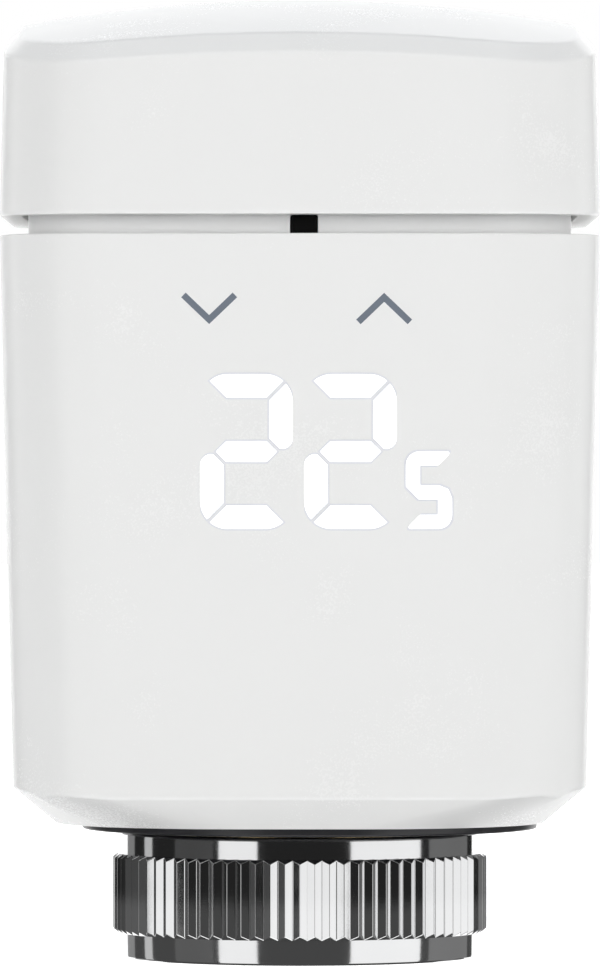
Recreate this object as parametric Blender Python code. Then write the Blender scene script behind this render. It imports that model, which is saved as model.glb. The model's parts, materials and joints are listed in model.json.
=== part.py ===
"""Motorised thermostat head for a radiator valve, as separate solids on their joint axes.

Sizes are in millimetres and MM turns them into metres as each mesh is made. +Z is up, -Y is the front
with the display, and the origin is at the middle of the union nut's lower rim.
"""
import math

import bmesh
import bpy
from mathutils import Matrix, Vector

MM = 0.001

# Housing, cap and neck
BODY_TOP_HALF = 27.0
BODY_KNEE_HALF = 25.83
BODY_FOOT_HALF = 22.25
BODY_CORNER = 9.2
FOOT_CORNER = 16.5
FOOT_Z = 12.54
KNEE_FRONT_Z = 15.4
KNEE_SIDE_Z = 16.2
BODY_TOP_Z = 65.8
BODY_LIP_EDGE = 0.15
FLOOR_BLEND_Z = 18.5
CAP_LIP_Z = 67.5
CAP_TOP_HALF = 26.65
CAP_BEVEL_IN = 1.55
CAP_BEVEL_HIGH = 1.8
DOME_PEAK_Z = 87.8
DOME_FALL_X = 0.0036
DOME_FALL_Y = 0.00644
DOME_TWIST = 1.53e-6
WALL = 2.0
NECK_HALF = 24.4
NECK_CORNER = 6.3
NECK_TOP_Z = 79.2
NECK_WALL = 1.6
CLEAR = 0.3

# Sensor window in the neck, as (low, high) along each direction
WINDOW_X = (-0.82, 1.58)
WINDOW_Y = (-24.55, -21.9)
WINDOW_Z = (64.6, 67.45)
WINDOW_EDGE = 0.25
THERMISTOR_Y = -20.6

# Union nut and valve collar
NUT_PLAIN_R = 16.4
KNURL_TIP_R = 17.2
KNURL_ROOT_R = 16.75
KNURL_COUNT = 80
NUT_TOP_Z = 11.5
NUT_THREAD_R = 14.2
NUT_LIP_R = 12.4
NUT_LIP_Z = 8.9
NUT_EDGE = 0.35
KNURL_Z = (2.3, 9.55)
KNURL_SLOPE = 0.35
COLLAR_SEAT_Z = 5.9
COLLAR_R = 12.0
COLLAR_BORE_R = 9.5
GROOVE_R = 11.4
RING_Z = 7.9
RING_R = 12.45
RING_WIRE_R = 0.65
RING_GAP_DEG = 40
SEAL_R = 20.9
SEAL_OFFSET_X = 0.9
SEAL_BOTTOM_Z = 11.8
FLOOR_UNDER_Z = 13.2
FLOOR_TOP_Z = 15.0
FLANGE_R = 16.5
FLANGE_Z = (15.35, 17.4)
COLLAR_SCREW_RING_R = 14.2
COLLAR_SCREWS = [(COLLAR_SCREW_RING_R * math.cos(math.radians(angle)),
                  COLLAR_SCREW_RING_R * math.sin(math.radians(angle))) for angle in (90, 210, 330)]

# Gear train: teeth and modules, with the output gear on the nut's axis
OUTPUT_TEETH = 40
OUTPUT_MODULE = 0.5
SECOND_PINION_TEETH = 12
SECOND_WHEEL_TEETH = 32
FIRST_PINION_TEETH = 10
FIRST_WHEEL_TEETH = 30
MOTOR_TEETH = 10
FINE_MODULE = 0.4
SECOND_DIRECTION = math.radians(40)
FIRST_DIRECTION = math.radians(150)
MOTOR_DIRECTION = math.radians(160)
CASE_FLOOR_Z = (19.2, 20.2)
CASE_RIM_Z = 24.4
COVER_Z = (24.7, 25.7)
CASE_LOW = (-21.3, -15.6)
CASE_HIGH = (21.3, 22.2)
CASE_CORNER = 5.0
CASE_WALL = 1.2
CASE_SCREWS = [(-18.3, -12.5), (18.3, -12.5), (18.3, 16.5), (-18.3, 16.5)]
CASE_SCREW_LENGTH = 9.6
COLLAR_SCREW_LENGTH = 3.6
SCREW_R = 1.0
SCREW_HOLE_R = 1.3
SCREW_HEAD_R = 1.9
WHEEL_ONE_Z = (20.5, 21.2)
WHEEL_TWO_Z = (21.5, 22.5)
WHEEL_OUT_Z = (22.8, 24.2)
PINION_TOP_Z = 24.35
PIN_R = 0.75
PIN_Z = (19.4, 25.5)
PIN_BORE_R = PIN_R + CLEAR
OUTPUT_HUB_R = 5.8
OUTPUT_HUB_Z = 19.5
OUTPUT_HOLE_R = 6.2
MOTOR_R = 5.0
MOTOR_Z = (22.0, 28.4)
MOTOR_END_Z = (28.7, 30.0)
MOTOR_SHAFT_R = 0.5
MOTOR_SHAFT_Z = (20.4, 27.0)
MOTOR_PINION_Z = (20.5, 21.3)
PLUNGER_TIP_Z = 17.7
PLUNGER_TOP_Z = 26.3
PLUNGER_R = 4.0
PLUNGER_FLAT = 3.2

# Batteries and boards
BATTERY_R = 7.25
BATTERY_X = 8.3
BATTERY_Y = 3.0
BATTERY_Z = (33.2, 82.7)
NUB_R = 2.75
NUB_HIGH = 1.0
BOX_LOW = (-19.5, -12.5)
BOX_HIGH = (19.5, 15.5)
BOX_CORNER = 5.0
BOX_WALL = 1.4
BOX_Z = (31.1, 61.0)
SPRING_TURNS = 1.5
DISPLAY_X = (-10.5, 15.5)
DISPLAY_Z = (37.5, 55.0)
DIFFUSER_Y = (-23.7, -23.3)
GUIDE_Y = (-23.0, -19.9)
DISPLAY_BOARD_Y = (-19.5, -18.5)
DIGIT_X = (-4.9, 4.4, 11.6)
DIGIT_Z = (46.3, 46.3, 42.7)
DIGIT_SIZE = ((7.0, 13.0), (7.0, 13.0), (3.9, 6.6))
TOUCH_X = (-8.05, 7.5)
TOUCH_Z = (55.5, 62.3)
TOUCH_HALF = 4.2
TOUCH_Y = (-24.3, -24.0)
FLEX_THICK = 0.3

ROUND_STEPS = 32

FINISHES = {
    "white_plastic": ((0.90, 0.90, 0.89), 0.30, 0.0),
    "light_plastic": ((0.83, 0.84, 0.84), 0.35, 0.0),
    "black_plastic": ((0.02, 0.02, 0.022), 0.25, 0.0),
    "grey_plastic": ((0.35, 0.36, 0.37), 0.50, 0.0),
    "gear_plastic": ((0.88, 0.85, 0.74), 0.40, 0.0),
    "chrome": ((0.80, 0.81, 0.82), 0.10, 1.0),
    "steel": ((0.62, 0.63, 0.64), 0.28, 1.0),
    "brass": ((0.78, 0.60, 0.30), 0.25, 1.0),
    "board_green": ((0.04, 0.22, 0.12), 0.45, 0.0),
    "battery_jacket": ((0.10, 0.30, 0.42), 0.35, 0.2),
    "copper": ((0.80, 0.45, 0.30), 0.30, 1.0),
    "diffuser": ((0.92, 0.94, 0.96), 0.25, 0.0),
}


def finish(name):
    """Return the named material, made on its first use."""
    found = bpy.data.materials.get(name)
    if found:
        return found
    colour, roughness, metallic = FINISHES[name]
    made = bpy.data.materials.new(name)
    made.use_nodes = True
    shader = made.node_tree.nodes["Principled BSDF"]
    shader.inputs["Base Color"].default_value = (*colour, 1.0)
    shader.inputs["Roughness"].default_value = roughness
    shader.inputs["Metallic"].default_value = metallic
    made.diffuse_color = (*colour, 1.0)
    return made


def place(name, bm, material, at=(0, 0, 0), axis=None):
    """Finish a bmesh as a named object at a point, riding on a joint's axis empty if one is given."""
    bmesh.ops.recalc_face_normals(bm, faces=bm.faces)
    pivot = axis.location / MM if axis else Vector((0, 0, 0))
    if axis and at == (0, 0, 0):
        bmesh.ops.translate(bm, verts=bm.verts, vec=-pivot)
        at = tuple(pivot)
    bmesh.ops.scale(bm, verts=bm.verts, vec=(MM, MM, MM))
    mesh = bpy.data.meshes.new(name)
    bm.to_mesh(mesh)
    bm.free()
    mesh.shade_smooth()
    mesh.set_sharp_from_angle(angle=math.radians(32))
    obj = bpy.data.objects.new(name, mesh)
    bpy.context.scene.collection.objects.link(obj)
    obj.location = (Vector(at) - pivot) * MM
    obj.parent = axis
    if material:
        mesh.materials.append(finish(material))
    return obj


def joint_axis(name, at):
    """Add an empty on a joint's axis for the moving pieces to ride on."""
    empty = bpy.data.objects.new(name, None)
    empty.location = Vector(at) * MM
    empty.empty_display_size = 0.01
    bpy.context.scene.collection.objects.link(empty)
    return empty


def cut(obj, cutters, operation="DIFFERENCE"):
    """Cut an object with one hidden object made of the given bmeshes, or join them to it."""
    joined = bmesh.new()
    for cutter in cutters:
        bmesh.ops.recalc_face_normals(cutter, faces=cutter.faces)
        spare = bpy.data.meshes.new("spare")
        cutter.to_mesh(spare)
        cutter.free()
        joined.from_mesh(spare)
        bpy.data.meshes.remove(spare)
    suffix = "cutter" if operation == "DIFFERENCE" else "addition"
    tool = place(obj.name + "_" + suffix, joined, None)
    tool.hide_render = True
    tool.display_type = "WIRE"
    boolean = obj.modifiers.new(suffix, "BOOLEAN")
    boolean.operation = operation
    boolean.solver = "EXACT"
    boolean.object = tool
    return obj


def rounded_rectangle(low, high, corner, side_steps=1, corner_steps=6):
    """Points of a rounded rectangle, anticlockwise, with even steps on sides and corners."""
    centres = [
        (high[0] - corner, low[1] + corner, -90),
        (high[0] - corner, high[1] - corner, 0),
        (low[0] + corner, high[1] - corner, 90),
        (low[0] + corner, low[1] + corner, 180),
    ]
    points = []
    for index, (x, y, start) in enumerate(centres):
        for step in range(corner_steps + 1):
            angle = math.radians(start + 90 * step / corner_steps)
            points.append((x + corner * math.cos(angle), y + corner * math.sin(angle)))
        next_x, next_y, next_start = centres[(index + 1) % 4]
        turn = math.radians(next_start)
        goal = (next_x + corner * math.cos(turn), next_y + corner * math.sin(turn))
        last = points[-1]
        for step in range(1, side_steps):
            part = step / side_steps
            points.append((last[0] + (goal[0] - last[0]) * part, last[1] + (goal[1] - last[1]) * part))
    return points


def rounded_square(half, corner, side_steps=1, corner_steps=6):
    """Points of a rounded square about the Z axis."""
    return rounded_rectangle((-half, -half), (half, half), corner, side_steps, corner_steps)


def circle(radius, steps=ROUND_STEPS, centre=(0, 0)):
    """Points of a circle, anticlockwise."""
    turn = 2 * math.pi / steps
    return [(centre[0] + radius * math.cos(i * turn), centre[1] + radius * math.sin(i * turn))
            for i in range(steps)]


def circle_facing(radius, outline, centre_x=0.0):
    """Points of a circle, one in the direction of each point of an outline."""
    points = []
    for x, y in outline:
        length = math.hypot(x, y)
        points.append((centre_x + radius * x / length, radius * y / length))
    return points


def double_flat(radius, flat, steps=8):
    """Points of a circle with two flats that face -Y and +Y."""
    edge = math.asin(flat / radius)
    points = []
    for start in (0, math.pi):
        for step in range(steps + 1):
            angle = start - edge + 2 * edge * step / steps
            points.append((radius * math.cos(angle), radius * math.sin(angle)))
    return points


def gear_outline(teeth, module, phase):
    """Points of a spur gear with one tooth's middle at the phase angle, in radians."""
    pitch_r = teeth * module / 2
    quarter = math.pi / 2 / teeth
    root_r = pitch_r - 1.05 * module
    tip_r = pitch_r + 0.8 * module
    flank = ((root_r, -1.25), (tip_r, -0.4), (tip_r, 0.4), (root_r, 1.25))
    points = []
    for tooth in range(teeth):
        middle = phase + 4 * quarter * tooth
        for radius, side in flank:
            angle = middle + side * quarter
            points.append((radius * math.cos(angle), radius * math.sin(angle)))
    return points


def moved(points, centre):
    """Shift an outline in the plane."""
    return [(x + centre[0], y + centre[1]) for x, y in points]


def ring(bm, outline, z):
    """Add an outline's vertices at a height, which may be a function of x and y."""
    return [bm.verts.new((x, y, z(x, y) if callable(z) else z)) for x, y in outline]


def ring_edges(bm, verts):
    """The edges round a ring of vertices, made where they are missing."""
    pairs = zip(verts, verts[1:] + verts[:1])
    return [bm.edges.get(pair) or bm.edges.new(pair) for pair in pairs]


def join_rings(bm, first, second):
    """Skin two rings: a wall where their counts match, or a flat face between outlines."""
    if len(first) == len(second):
        for i in range(len(first)):
            j = (i + 1) % len(first)
            bm.faces.new((first[i], first[j], second[j], second[i]))
    else:
        edges = ring_edges(bm, first) + ring_edges(bm, second)
        bmesh.ops.triangle_fill(bm, use_beauty=True, edges=edges)


def loft(sections, closed=False):
    """Skin a list of (outline, height) sections, with end faces, or closed up as a tube."""
    bm = bmesh.new()
    rings = [ring(bm, outline, z) for outline, z in sections]
    for first, second in zip(rings, rings[1:]):
        join_rings(bm, first, second)
    if closed:
        join_rings(bm, rings[-1], rings[0])
    else:
        bm.faces.new(rings[0])
        bm.faces.new(rings[-1])
    return bm


def fan(bm, verts, middle):
    """Close a ring with triangles that meet at a middle vertex."""
    for i, vert in enumerate(verts):
        bm.faces.new((vert, verts[(i + 1) % len(verts)], middle))


def turned(profile, steps=ROUND_STEPS, closed=True):
    """Spin a profile of (radius, height) points about Z. An open one starts and ends on the axis."""
    bm = bmesh.new()
    verts = [bm.verts.new((radius, 0, z)) for radius, z in profile]
    edges = [bm.edges.new(pair) for pair in zip(verts, verts[1:])]
    if closed:
        edges.append(bm.edges.new((verts[-1], verts[0])))
    bmesh.ops.spin(bm, geom=verts + edges, cent=(0, 0, 0), axis=(0, 0, 1), angle=2 * math.pi,
                   steps=steps, use_merge=True)
    bmesh.ops.remove_doubles(bm, verts=bm.verts, dist=0.0001)
    return bm


def block(low, high, bevel=0.0):
    """A box between two corners, with its edges bevelled."""
    bm = bmesh.new()
    bmesh.ops.create_cube(bm, size=1.0)
    size = [b - a for a, b in zip(low, high)]
    middle = [(a + b) / 2 for a, b in zip(low, high)]
    bmesh.ops.scale(bm, verts=bm.verts, vec=size)
    bmesh.ops.translate(bm, verts=bm.verts, vec=middle)
    if bevel:
        bmesh.ops.bevel(bm, geom=bm.edges[:], offset=bevel, segments=1, affect="EDGES")
    return bm


def post(radius, z, centre=(0, 0), steps=16):
    """An upright cylinder between two heights."""
    return loft([(circle(radius, steps, centre), z[0]), (circle(radius, steps, centre), z[1])])


def wire(name, points, radius, material, axis=None, closed=False):
    """A round wire along a list of points, as a curve with a bevel and filled ends."""
    curve = bpy.data.curves.new(name, "CURVE")
    curve.dimensions = "3D"
    curve.bevel_depth = radius * MM
    curve.bevel_resolution = 1
    curve.use_fill_caps = True
    spline = curve.splines.new("POLY")
    spline.points.add(len(points) - 1)
    spline.use_cyclic_u = closed
    pivot = axis.location if axis else Vector((0, 0, 0))
    for target, point in zip(spline.points, points):
        target.co = (*(Vector(point) * MM - pivot), 1.0)
    curve.materials.append(finish(material))
    obj = bpy.data.objects.new(name, curve)
    bpy.context.scene.collection.objects.link(obj)
    obj.parent = axis
    return obj


def screw(name, at, shank):
    """A pan-head screw, head underside at the given point and shank reaching down from it."""
    profile = [(0, 1.0), (SCREW_HEAD_R - 0.7, 1.0), (SCREW_HEAD_R, 0.45), (SCREW_HEAD_R, 0), (SCREW_R, 0),
               (SCREW_R, -shank), (0, -shank - 0.4)]
    return place(name, turned(profile, 12, closed=False), "steel", at=at)


def knee_z(x, y):
    """Height of the foot chamfer's upper edge, which is lower at front and back than at the sides."""
    side = max(0.0, min(1.0, (abs(x) - abs(y)) / (2 * BODY_CORNER) + 0.5))
    return KNEE_FRONT_Z + (KNEE_SIDE_Z - KNEE_FRONT_Z) * side


def dome_z(x, y):
    """Height of the cap's domed top."""
    fall = DOME_FALL_X * x * x + DOME_FALL_Y * y * y - DOME_TWIST * x * x * y * y
    return DOME_PEAK_Z - fall


def body_shell():
    """White housing: tapered rounded square, chamfered foot, open top, floor with the collar's hole."""
    def loop(half, corner):
        return rounded_square(half, corner, side_steps=4)

    outer_top = loop(BODY_TOP_HALF, BODY_CORNER)
    outer_lip = loop(BODY_TOP_HALF - BODY_LIP_EDGE, BODY_CORNER)
    knee = loop(BODY_KNEE_HALF, BODY_CORNER)
    foot = loop(BODY_FOOT_HALF, FOOT_CORNER)
    inner_top = loop(BODY_TOP_HALF - WALL, BODY_CORNER - WALL)
    inner_low = loop(BODY_KNEE_HALF - WALL, BODY_CORNER - WALL)
    inner_floor = loop(BODY_FOOT_HALF, 12.0)
    recess = circle_facing(SEAL_R + CLEAR, foot, SEAL_OFFSET_X)
    hole = circle_facing(COLLAR_R + CLEAR, foot)
    sections = [
        (hole, FLOOR_TOP_Z), (hole, FLOOR_UNDER_Z), (recess, FLOOR_UNDER_Z), (recess, FOOT_Z),
        (foot, FOOT_Z), (knee, knee_z), (outer_top, BODY_TOP_Z - BODY_LIP_EDGE),
        (outer_lip, BODY_TOP_Z), (inner_top, BODY_TOP_Z), (inner_low, FLOOR_BLEND_Z),
        (inner_floor, FLOOR_TOP_Z),
    ]
    shell = place("body_shell", loft(sections, closed=True), "white_plastic")
    boss_z = (FLOOR_TOP_Z - 1.0, CASE_FLOOR_Z[0] - CLEAR)
    cut(shell, [post(3.0, boss_z, at, 12) for at in CASE_SCREWS], "UNION")
    holes = [post(SCREW_HOLE_R, (FLOOR_TOP_Z + 0.4, 20.0), at, 12) for at in CASE_SCREWS]
    holes += [post(SCREW_HOLE_R, (12.9, 16.0), at, 12) for at in COLLAR_SCREWS]
    return cut(shell, holes)


def seal_plate():
    """Dark plate that closes the underside of the housing round the collar."""
    outer = circle(SEAL_R, 40, (SEAL_OFFSET_X, 0))
    edge = circle(SEAL_R - 0.25, 40, (SEAL_OFFSET_X, 0))
    hole = circle(COLLAR_R + CLEAR)
    top_z = FLOOR_UNDER_Z - CLEAR
    bm = loft([(hole, top_z), (hole, SEAL_BOTTOM_Z), (edge, SEAL_BOTTOM_Z), (outer, SEAL_BOTTOM_Z + 0.25),
               (outer, top_z)], closed=True)
    return place("seal_plate", bm, "black_plastic")


def cap_shell(axis):
    """White cap: domed top with a bevelled rim, straight sides and an open underside."""
    def loop(half, corner=BODY_CORNER):
        return rounded_square(half, corner, side_steps=6, corner_steps=5)

    rim_half = CAP_TOP_HALF - CAP_BEVEL_IN
    rim = loop(rim_half, BODY_CORNER - CAP_BEVEL_IN)
    rim_z = [dome_z(x, y) - CAP_BEVEL_HIGH for x, y in rim]
    inner_corner = BODY_CORNER - WALL

    bm = bmesh.new()
    side_top = [bm.verts.new((x, y, z)) for (x, y), z in zip(loop(CAP_TOP_HALF), rim_z)]
    rings = [
        ring(bm, loop(BODY_TOP_HALF - WALL, inner_corner), CAP_LIP_Z),
        ring(bm, loop(BODY_TOP_HALF - 0.3), CAP_LIP_Z),
        ring(bm, loop(BODY_TOP_HALF), CAP_LIP_Z + 0.3),
        side_top,
        ring(bm, rim, dome_z),
    ]
    for share in (0.8, 0.55, 0.3):
        rings.append(ring(bm, [(x * share, y * share) for x, y in rim], dome_z))
    for first, second in zip(rings, rings[1:]):
        join_rings(bm, first, second)
    peak = bm.verts.new((0, 0, DOME_PEAK_Z))
    fan(bm, rings[-1], peak)

    def ceiling_z(x, y):
        return dome_z(x, y) - WALL

    inner_rim = loop(CAP_TOP_HALF - WALL, inner_corner)
    under = [rings[0], ring(bm, inner_rim, lambda x, y: ceiling_z(x, y) - 0.6)]
    for share in (0.9, 0.5):
        under.append(ring(bm, [(x * share, y * share) for x, y in inner_rim], ceiling_z))
    for first, second in zip(under, under[1:]):
        join_rings(bm, first, second)
    fan(bm, under[-1], bm.verts.new((0, 0, DOME_PEAK_Z - WALL)))
    return place("cap_shell", bm, "white_plastic", axis=axis)


def battery_frame():
    """Inner frame: a deep battery box whose wider upper wall shows in the gap under the cap."""
    def inset(points_low, points_high, corner, wall):
        low = [value + wall for value in points_low]
        high = [value - wall for value in points_high]
        return rounded_rectangle(low, high, corner - wall)

    box = inset(BOX_LOW, BOX_HIGH, BOX_CORNER, 0)
    inner_box = inset(BOX_LOW, BOX_HIGH, BOX_CORNER, BOX_WALL)
    upper = rounded_square(NECK_HALF, NECK_CORNER)
    upper_edge = rounded_square(NECK_HALF - 0.5, NECK_CORNER)
    inner_upper = rounded_square(NECK_HALF - NECK_WALL, NECK_CORNER - NECK_WALL)
    low, shoulder = BOX_Z
    sections = [
        (box, low), (box, shoulder), (upper, shoulder + 2.5), (upper, NECK_TOP_Z - 0.8),
        (upper_edge, NECK_TOP_Z), (inner_upper, NECK_TOP_Z), (inner_upper, shoulder + 3.5),
        (inner_box, shoulder + 1.0), (inner_box, low + 1.0),
    ]
    frame = place("battery_frame", loft(sections), "light_plastic")
    divider = block((-0.7, BOX_LOW[1] + 0.9, low + 0.5), (0.7, BOX_HIGH[1] - 0.9, shoulder - 1.0))
    cut(frame, [divider], "UNION")
    slot_low = [WINDOW_X[0] - CLEAR, WINDOW_Y[0] - 2.0, WINDOW_Z[0] - CLEAR]
    slot_high = [WINDOW_X[1] + CLEAR, WINDOW_Y[1] + 2.0, WINDOW_Z[1] + CLEAR]
    return cut(frame, [block(slot_low, slot_high)])


def sensor_window():
    """Small black window that fills the slot in the frame's front wall."""
    low, high = zip(WINDOW_X, WINDOW_Y, WINDOW_Z)
    return place("sensor_window", block(low, high, WINDOW_EDGE), "black_plastic")


def thermistor():
    """Temperature sensor: a small bead on a stem, behind the window."""
    bm = turned([(0, 64.8), (0.4, 64.8), (0.4, 65.8), (0.9, 66.3), (0.9, 67.0), (0.5, 67.6), (0, 67.7)],
                10, closed=False)
    return place("thermistor", bm, "black_plastic", at=(sum(WINDOW_X) / 2, THERMISTOR_Y, 0))


def batteries():
    """Two round cells side by side, one each way up."""
    low, high = BATTERY_Z
    profile = [(0, low), (BATTERY_R - 0.8, low), (BATTERY_R, low + 0.5), (BATTERY_R, high - 0.5),
               (BATTERY_R - 0.8, high), (NUB_R, high), (NUB_R, high + NUB_HIGH), (0, high + NUB_HIGH)]
    flipped = [(radius, low + high + NUB_HIGH - z) for radius, z in reversed(profile)]
    for name, x, points in (("battery_left", -BATTERY_X, profile), ("battery_right", BATTERY_X, flipped)):
        bm = turned(points, 24, closed=False)
        place(name, bm, "battery_jacket", at=(x, BATTERY_Y, 0))


def spiral(centre, start_z, end_z, low_r, high_r):
    """Points of a conical spring's wire, pressed nearly flat."""
    count = int(SPRING_TURNS * 10)
    points = []
    for i in range(count + 1):
        share = i / count
        angle = 2 * math.pi * SPRING_TURNS * share
        radius = low_r + (high_r - low_r) * share
        points.append((centre[0] + radius * math.cos(angle), centre[1] + radius * math.sin(angle),
                       start_z + (end_z - start_z) * share))
    return points


def battery_contacts(axis):
    """Lower spring and plate in the frame, and the bridge with its spring inside the cap."""
    wire("contact_spring", spiral((-BATTERY_X, BATTERY_Y), 32.5, 32.8, 4.6, 2.2), 0.12, "steel")
    plate = turned([(0, 32.4), (4.5, 32.4), (4.5, 32.6), (2.2, 32.6), (1.6, 32.9), (0, 32.9)], 16,
                   closed=False)
    place("contact_plate", plate, "steel", at=(BATTERY_X, BATTERY_Y, 0))
    bridge = loft([(rounded_rectangle((-12.6, -1.0), (12.6, 7.0), 2.0, 1, 3), z) for z in (84.4, 84.65)])
    place("battery_bridge", bridge, "steel", axis=axis)
    coil = spiral((BATTERY_X, BATTERY_Y), 84.18, 83.95, 3.6, 2.0)
    wire("bridge_spring", coil, 0.1, "steel", axis=axis)


def valve_collar():
    """Metal collar: seats on the valve, carries the nut's ring groove, and screws to the floor."""
    profile = [
        (COLLAR_BORE_R, FLANGE_Z[1]), (COLLAR_BORE_R, COLLAR_SEAT_Z), (COLLAR_R - 0.3, COLLAR_SEAT_Z),
        (COLLAR_R, COLLAR_SEAT_Z + 0.3), (COLLAR_R, RING_Z - 1.0), (GROOVE_R, RING_Z - 1.0),
        (GROOVE_R, RING_Z + 1.0), (COLLAR_R, RING_Z + 1.0), (COLLAR_R, FLANGE_Z[0]),
        (FLANGE_R, FLANGE_Z[0]), (FLANGE_R, FLANGE_Z[1]),
    ]
    collar = place("valve_collar", turned(profile), "brass")
    return cut(collar, [post(SCREW_HOLE_R, (14.0, 18.5), at, 12) for at in COLLAR_SCREWS])


def retaining_ring():
    """Open wire ring in the collar's groove that holds the nut up."""
    points = []
    steps = 32
    for step in range(steps + 1):
        angle = math.radians(RING_GAP_DEG / 2 + (360 - RING_GAP_DEG) * step / steps)
        points.append((RING_R * math.cos(angle), RING_R * math.sin(angle), RING_Z))
    return wire("retaining_ring", points, RING_WIRE_R, "steel")


def union_nut(axis):
    """Knurled union nut with a plain band above and below the knurl and an inner lip."""
    steps = 40
    ridged = []
    for i in range(2 * KNURL_COUNT):
        radius = KNURL_TIP_R if i % 2 == 0 else KNURL_ROOT_R
        angle = math.pi * i / KNURL_COUNT
        ridged.append((radius * math.cos(angle), radius * math.sin(angle)))

    def plain(radius):
        return circle(radius, steps)

    root = circle(KNURL_ROOT_R, 2 * KNURL_COUNT)
    low, high = KNURL_Z
    bm = bmesh.new()
    sections = [
        (plain(NUT_THREAD_R), NUT_LIP_Z), (plain(NUT_THREAD_R), 0.6), (plain(NUT_THREAD_R + 0.6), 0),
        (plain(NUT_PLAIN_R - NUT_EDGE), 0), (plain(NUT_PLAIN_R), NUT_EDGE), (plain(NUT_PLAIN_R), low),
        (root, low), (ridged, low + KNURL_SLOPE), (ridged, high - KNURL_SLOPE), (root, high),
        (plain(NUT_PLAIN_R), high), (plain(NUT_PLAIN_R), NUT_TOP_Z - NUT_EDGE),
        (plain(NUT_PLAIN_R - NUT_EDGE), NUT_TOP_Z), (plain(NUT_LIP_R), NUT_TOP_Z),
        (plain(NUT_LIP_R), NUT_LIP_Z),
    ]
    rings = [ring(bm, outline, z) for outline, z in sections]
    for first, second in zip(rings, rings[1:] + rings[:1]):
        join_rings(bm, first, second)
    return place("union_nut", bm, "chrome", axis=axis)


def gear_centres():
    """Centres of the second gear, first gear and motor, from their pitch radii and directions."""
    def step(start, reach, direction):
        return (start[0] + reach * math.cos(direction), start[1] + reach * math.sin(direction))

    second = step((0, 0), OUTPUT_MODULE * (OUTPUT_TEETH + SECOND_PINION_TEETH) / 2, SECOND_DIRECTION)
    first = step(second, FINE_MODULE * (SECOND_WHEEL_TEETH + FIRST_PINION_TEETH) / 2, FIRST_DIRECTION)
    motor = step(first, FINE_MODULE * (FIRST_WHEEL_TEETH + MOTOR_TEETH) / 2, MOTOR_DIRECTION)
    return second, first, motor


def meshed_phase(phase, teeth, direction, follower_teeth):
    """Phase of a gear that meshes with another one, which lies opposite to the direction."""
    return direction + math.pi - teeth / follower_teeth * (phase - direction) - math.pi / follower_teeth


def compound_gear(name, centre, wheel, pinion, axis):
    """A wheel with a pinion on top, bored for its pin. Each is (outline, heights) about the bore."""
    bore = circle(PIN_BORE_R, 14)
    sections = []
    for outline, (low, high) in (wheel, pinion):
        sections += [(outline, low), (outline, high)]
    sections = [(bore, wheel[1][0])] + sections + [(bore, pinion[1][1])]
    bm = loft([(moved(outline, centre), z) for outline, z in sections], closed=True)
    return place(name, bm, "gear_plastic", axis=axis)


def gear_train(axes):
    """Output gear, two compound gears, and the motor's pinion and shaft, all in mesh."""
    second, first, motor = gear_centres()
    output_phase = SECOND_DIRECTION
    second_phase = meshed_phase(output_phase, OUTPUT_TEETH, SECOND_DIRECTION, SECOND_PINION_TEETH)
    first_phase = meshed_phase(0.0, SECOND_WHEEL_TEETH, FIRST_DIRECTION, FIRST_PINION_TEETH)
    motor_phase = meshed_phase(0.0, FIRST_WHEEL_TEETH, MOTOR_DIRECTION, MOTOR_TEETH)

    hub = circle(OUTPUT_HUB_R)
    bore = circle(PLUNGER_R + 0.3, 24)
    outline = gear_outline(OUTPUT_TEETH, OUTPUT_MODULE, output_phase)
    sections = [(bore, OUTPUT_HUB_Z), (hub, OUTPUT_HUB_Z), (hub, WHEEL_OUT_Z[0]),
                (outline, WHEEL_OUT_Z[0]), (outline, WHEEL_OUT_Z[1]), (bore, WHEEL_OUT_Z[1])]
    place("output_gear", loft(sections, closed=True), "gear_plastic", axis=axes["output_spin"])

    wheel = gear_outline(SECOND_WHEEL_TEETH, FINE_MODULE, 0.0)
    pinion = gear_outline(SECOND_PINION_TEETH, OUTPUT_MODULE, second_phase)
    compound_gear("second_stage_gear", second, (wheel, WHEEL_TWO_Z),
                  (pinion, (WHEEL_TWO_Z[1], PINION_TOP_Z)), axes["second_spin"])
    wheel = gear_outline(FIRST_WHEEL_TEETH, FINE_MODULE, 0.0)
    pinion = gear_outline(FIRST_PINION_TEETH, FINE_MODULE, first_phase)
    compound_gear("first_stage_gear", first, (wheel, WHEEL_ONE_Z),
                  (pinion, (WHEEL_ONE_Z[1], WHEEL_TWO_Z[1] + 0.1)), axes["first_spin"])
    for name, at in (("second_stage_pin", second), ("first_stage_pin", first)):
        place(name, post(PIN_R, PIN_Z, steps=12), "steel", at=(*at, 0))

    pinion = gear_outline(MOTOR_TEETH, FINE_MODULE, motor_phase)
    hole = circle(MOTOR_SHAFT_R + CLEAR, 12)
    low, high = MOTOR_PINION_Z
    sections = [(hole, low), (pinion, low), (pinion, high), (hole, high)]
    bm = loft([(moved(points, motor), z) for points, z in sections], closed=True)
    place("motor_pinion", bm, "brass", axis=axes["motor_spin"])
    shaft = post(MOTOR_SHAFT_R, MOTOR_SHAFT_Z, motor, 10)
    place("motor_shaft", shaft, "steel", axis=axes["motor_spin"])


def plunger(axis):
    """Threaded spindle with two flats that a keyed hole stops turning, and its hard tip."""
    body = double_flat(PLUNGER_R, PLUNGER_FLAT)
    tip = double_flat(PLUNGER_R - 0.6, PLUNGER_FLAT - 0.5)
    place("plunger_screw", loft([(body, PLUNGER_TIP_Z + 1.8), (body, PLUNGER_TOP_Z)]), "brass", axis=axis)
    face = circle(2.4, len(tip))
    rim = circle(3.0, len(tip))
    bm = loft([(face, PLUNGER_TIP_Z), (rim, PLUNGER_TIP_Z + 0.4), (tip, PLUNGER_TIP_Z + 1.5)])
    place("plunger_tip", bm, "steel", axis=axis)


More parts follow.
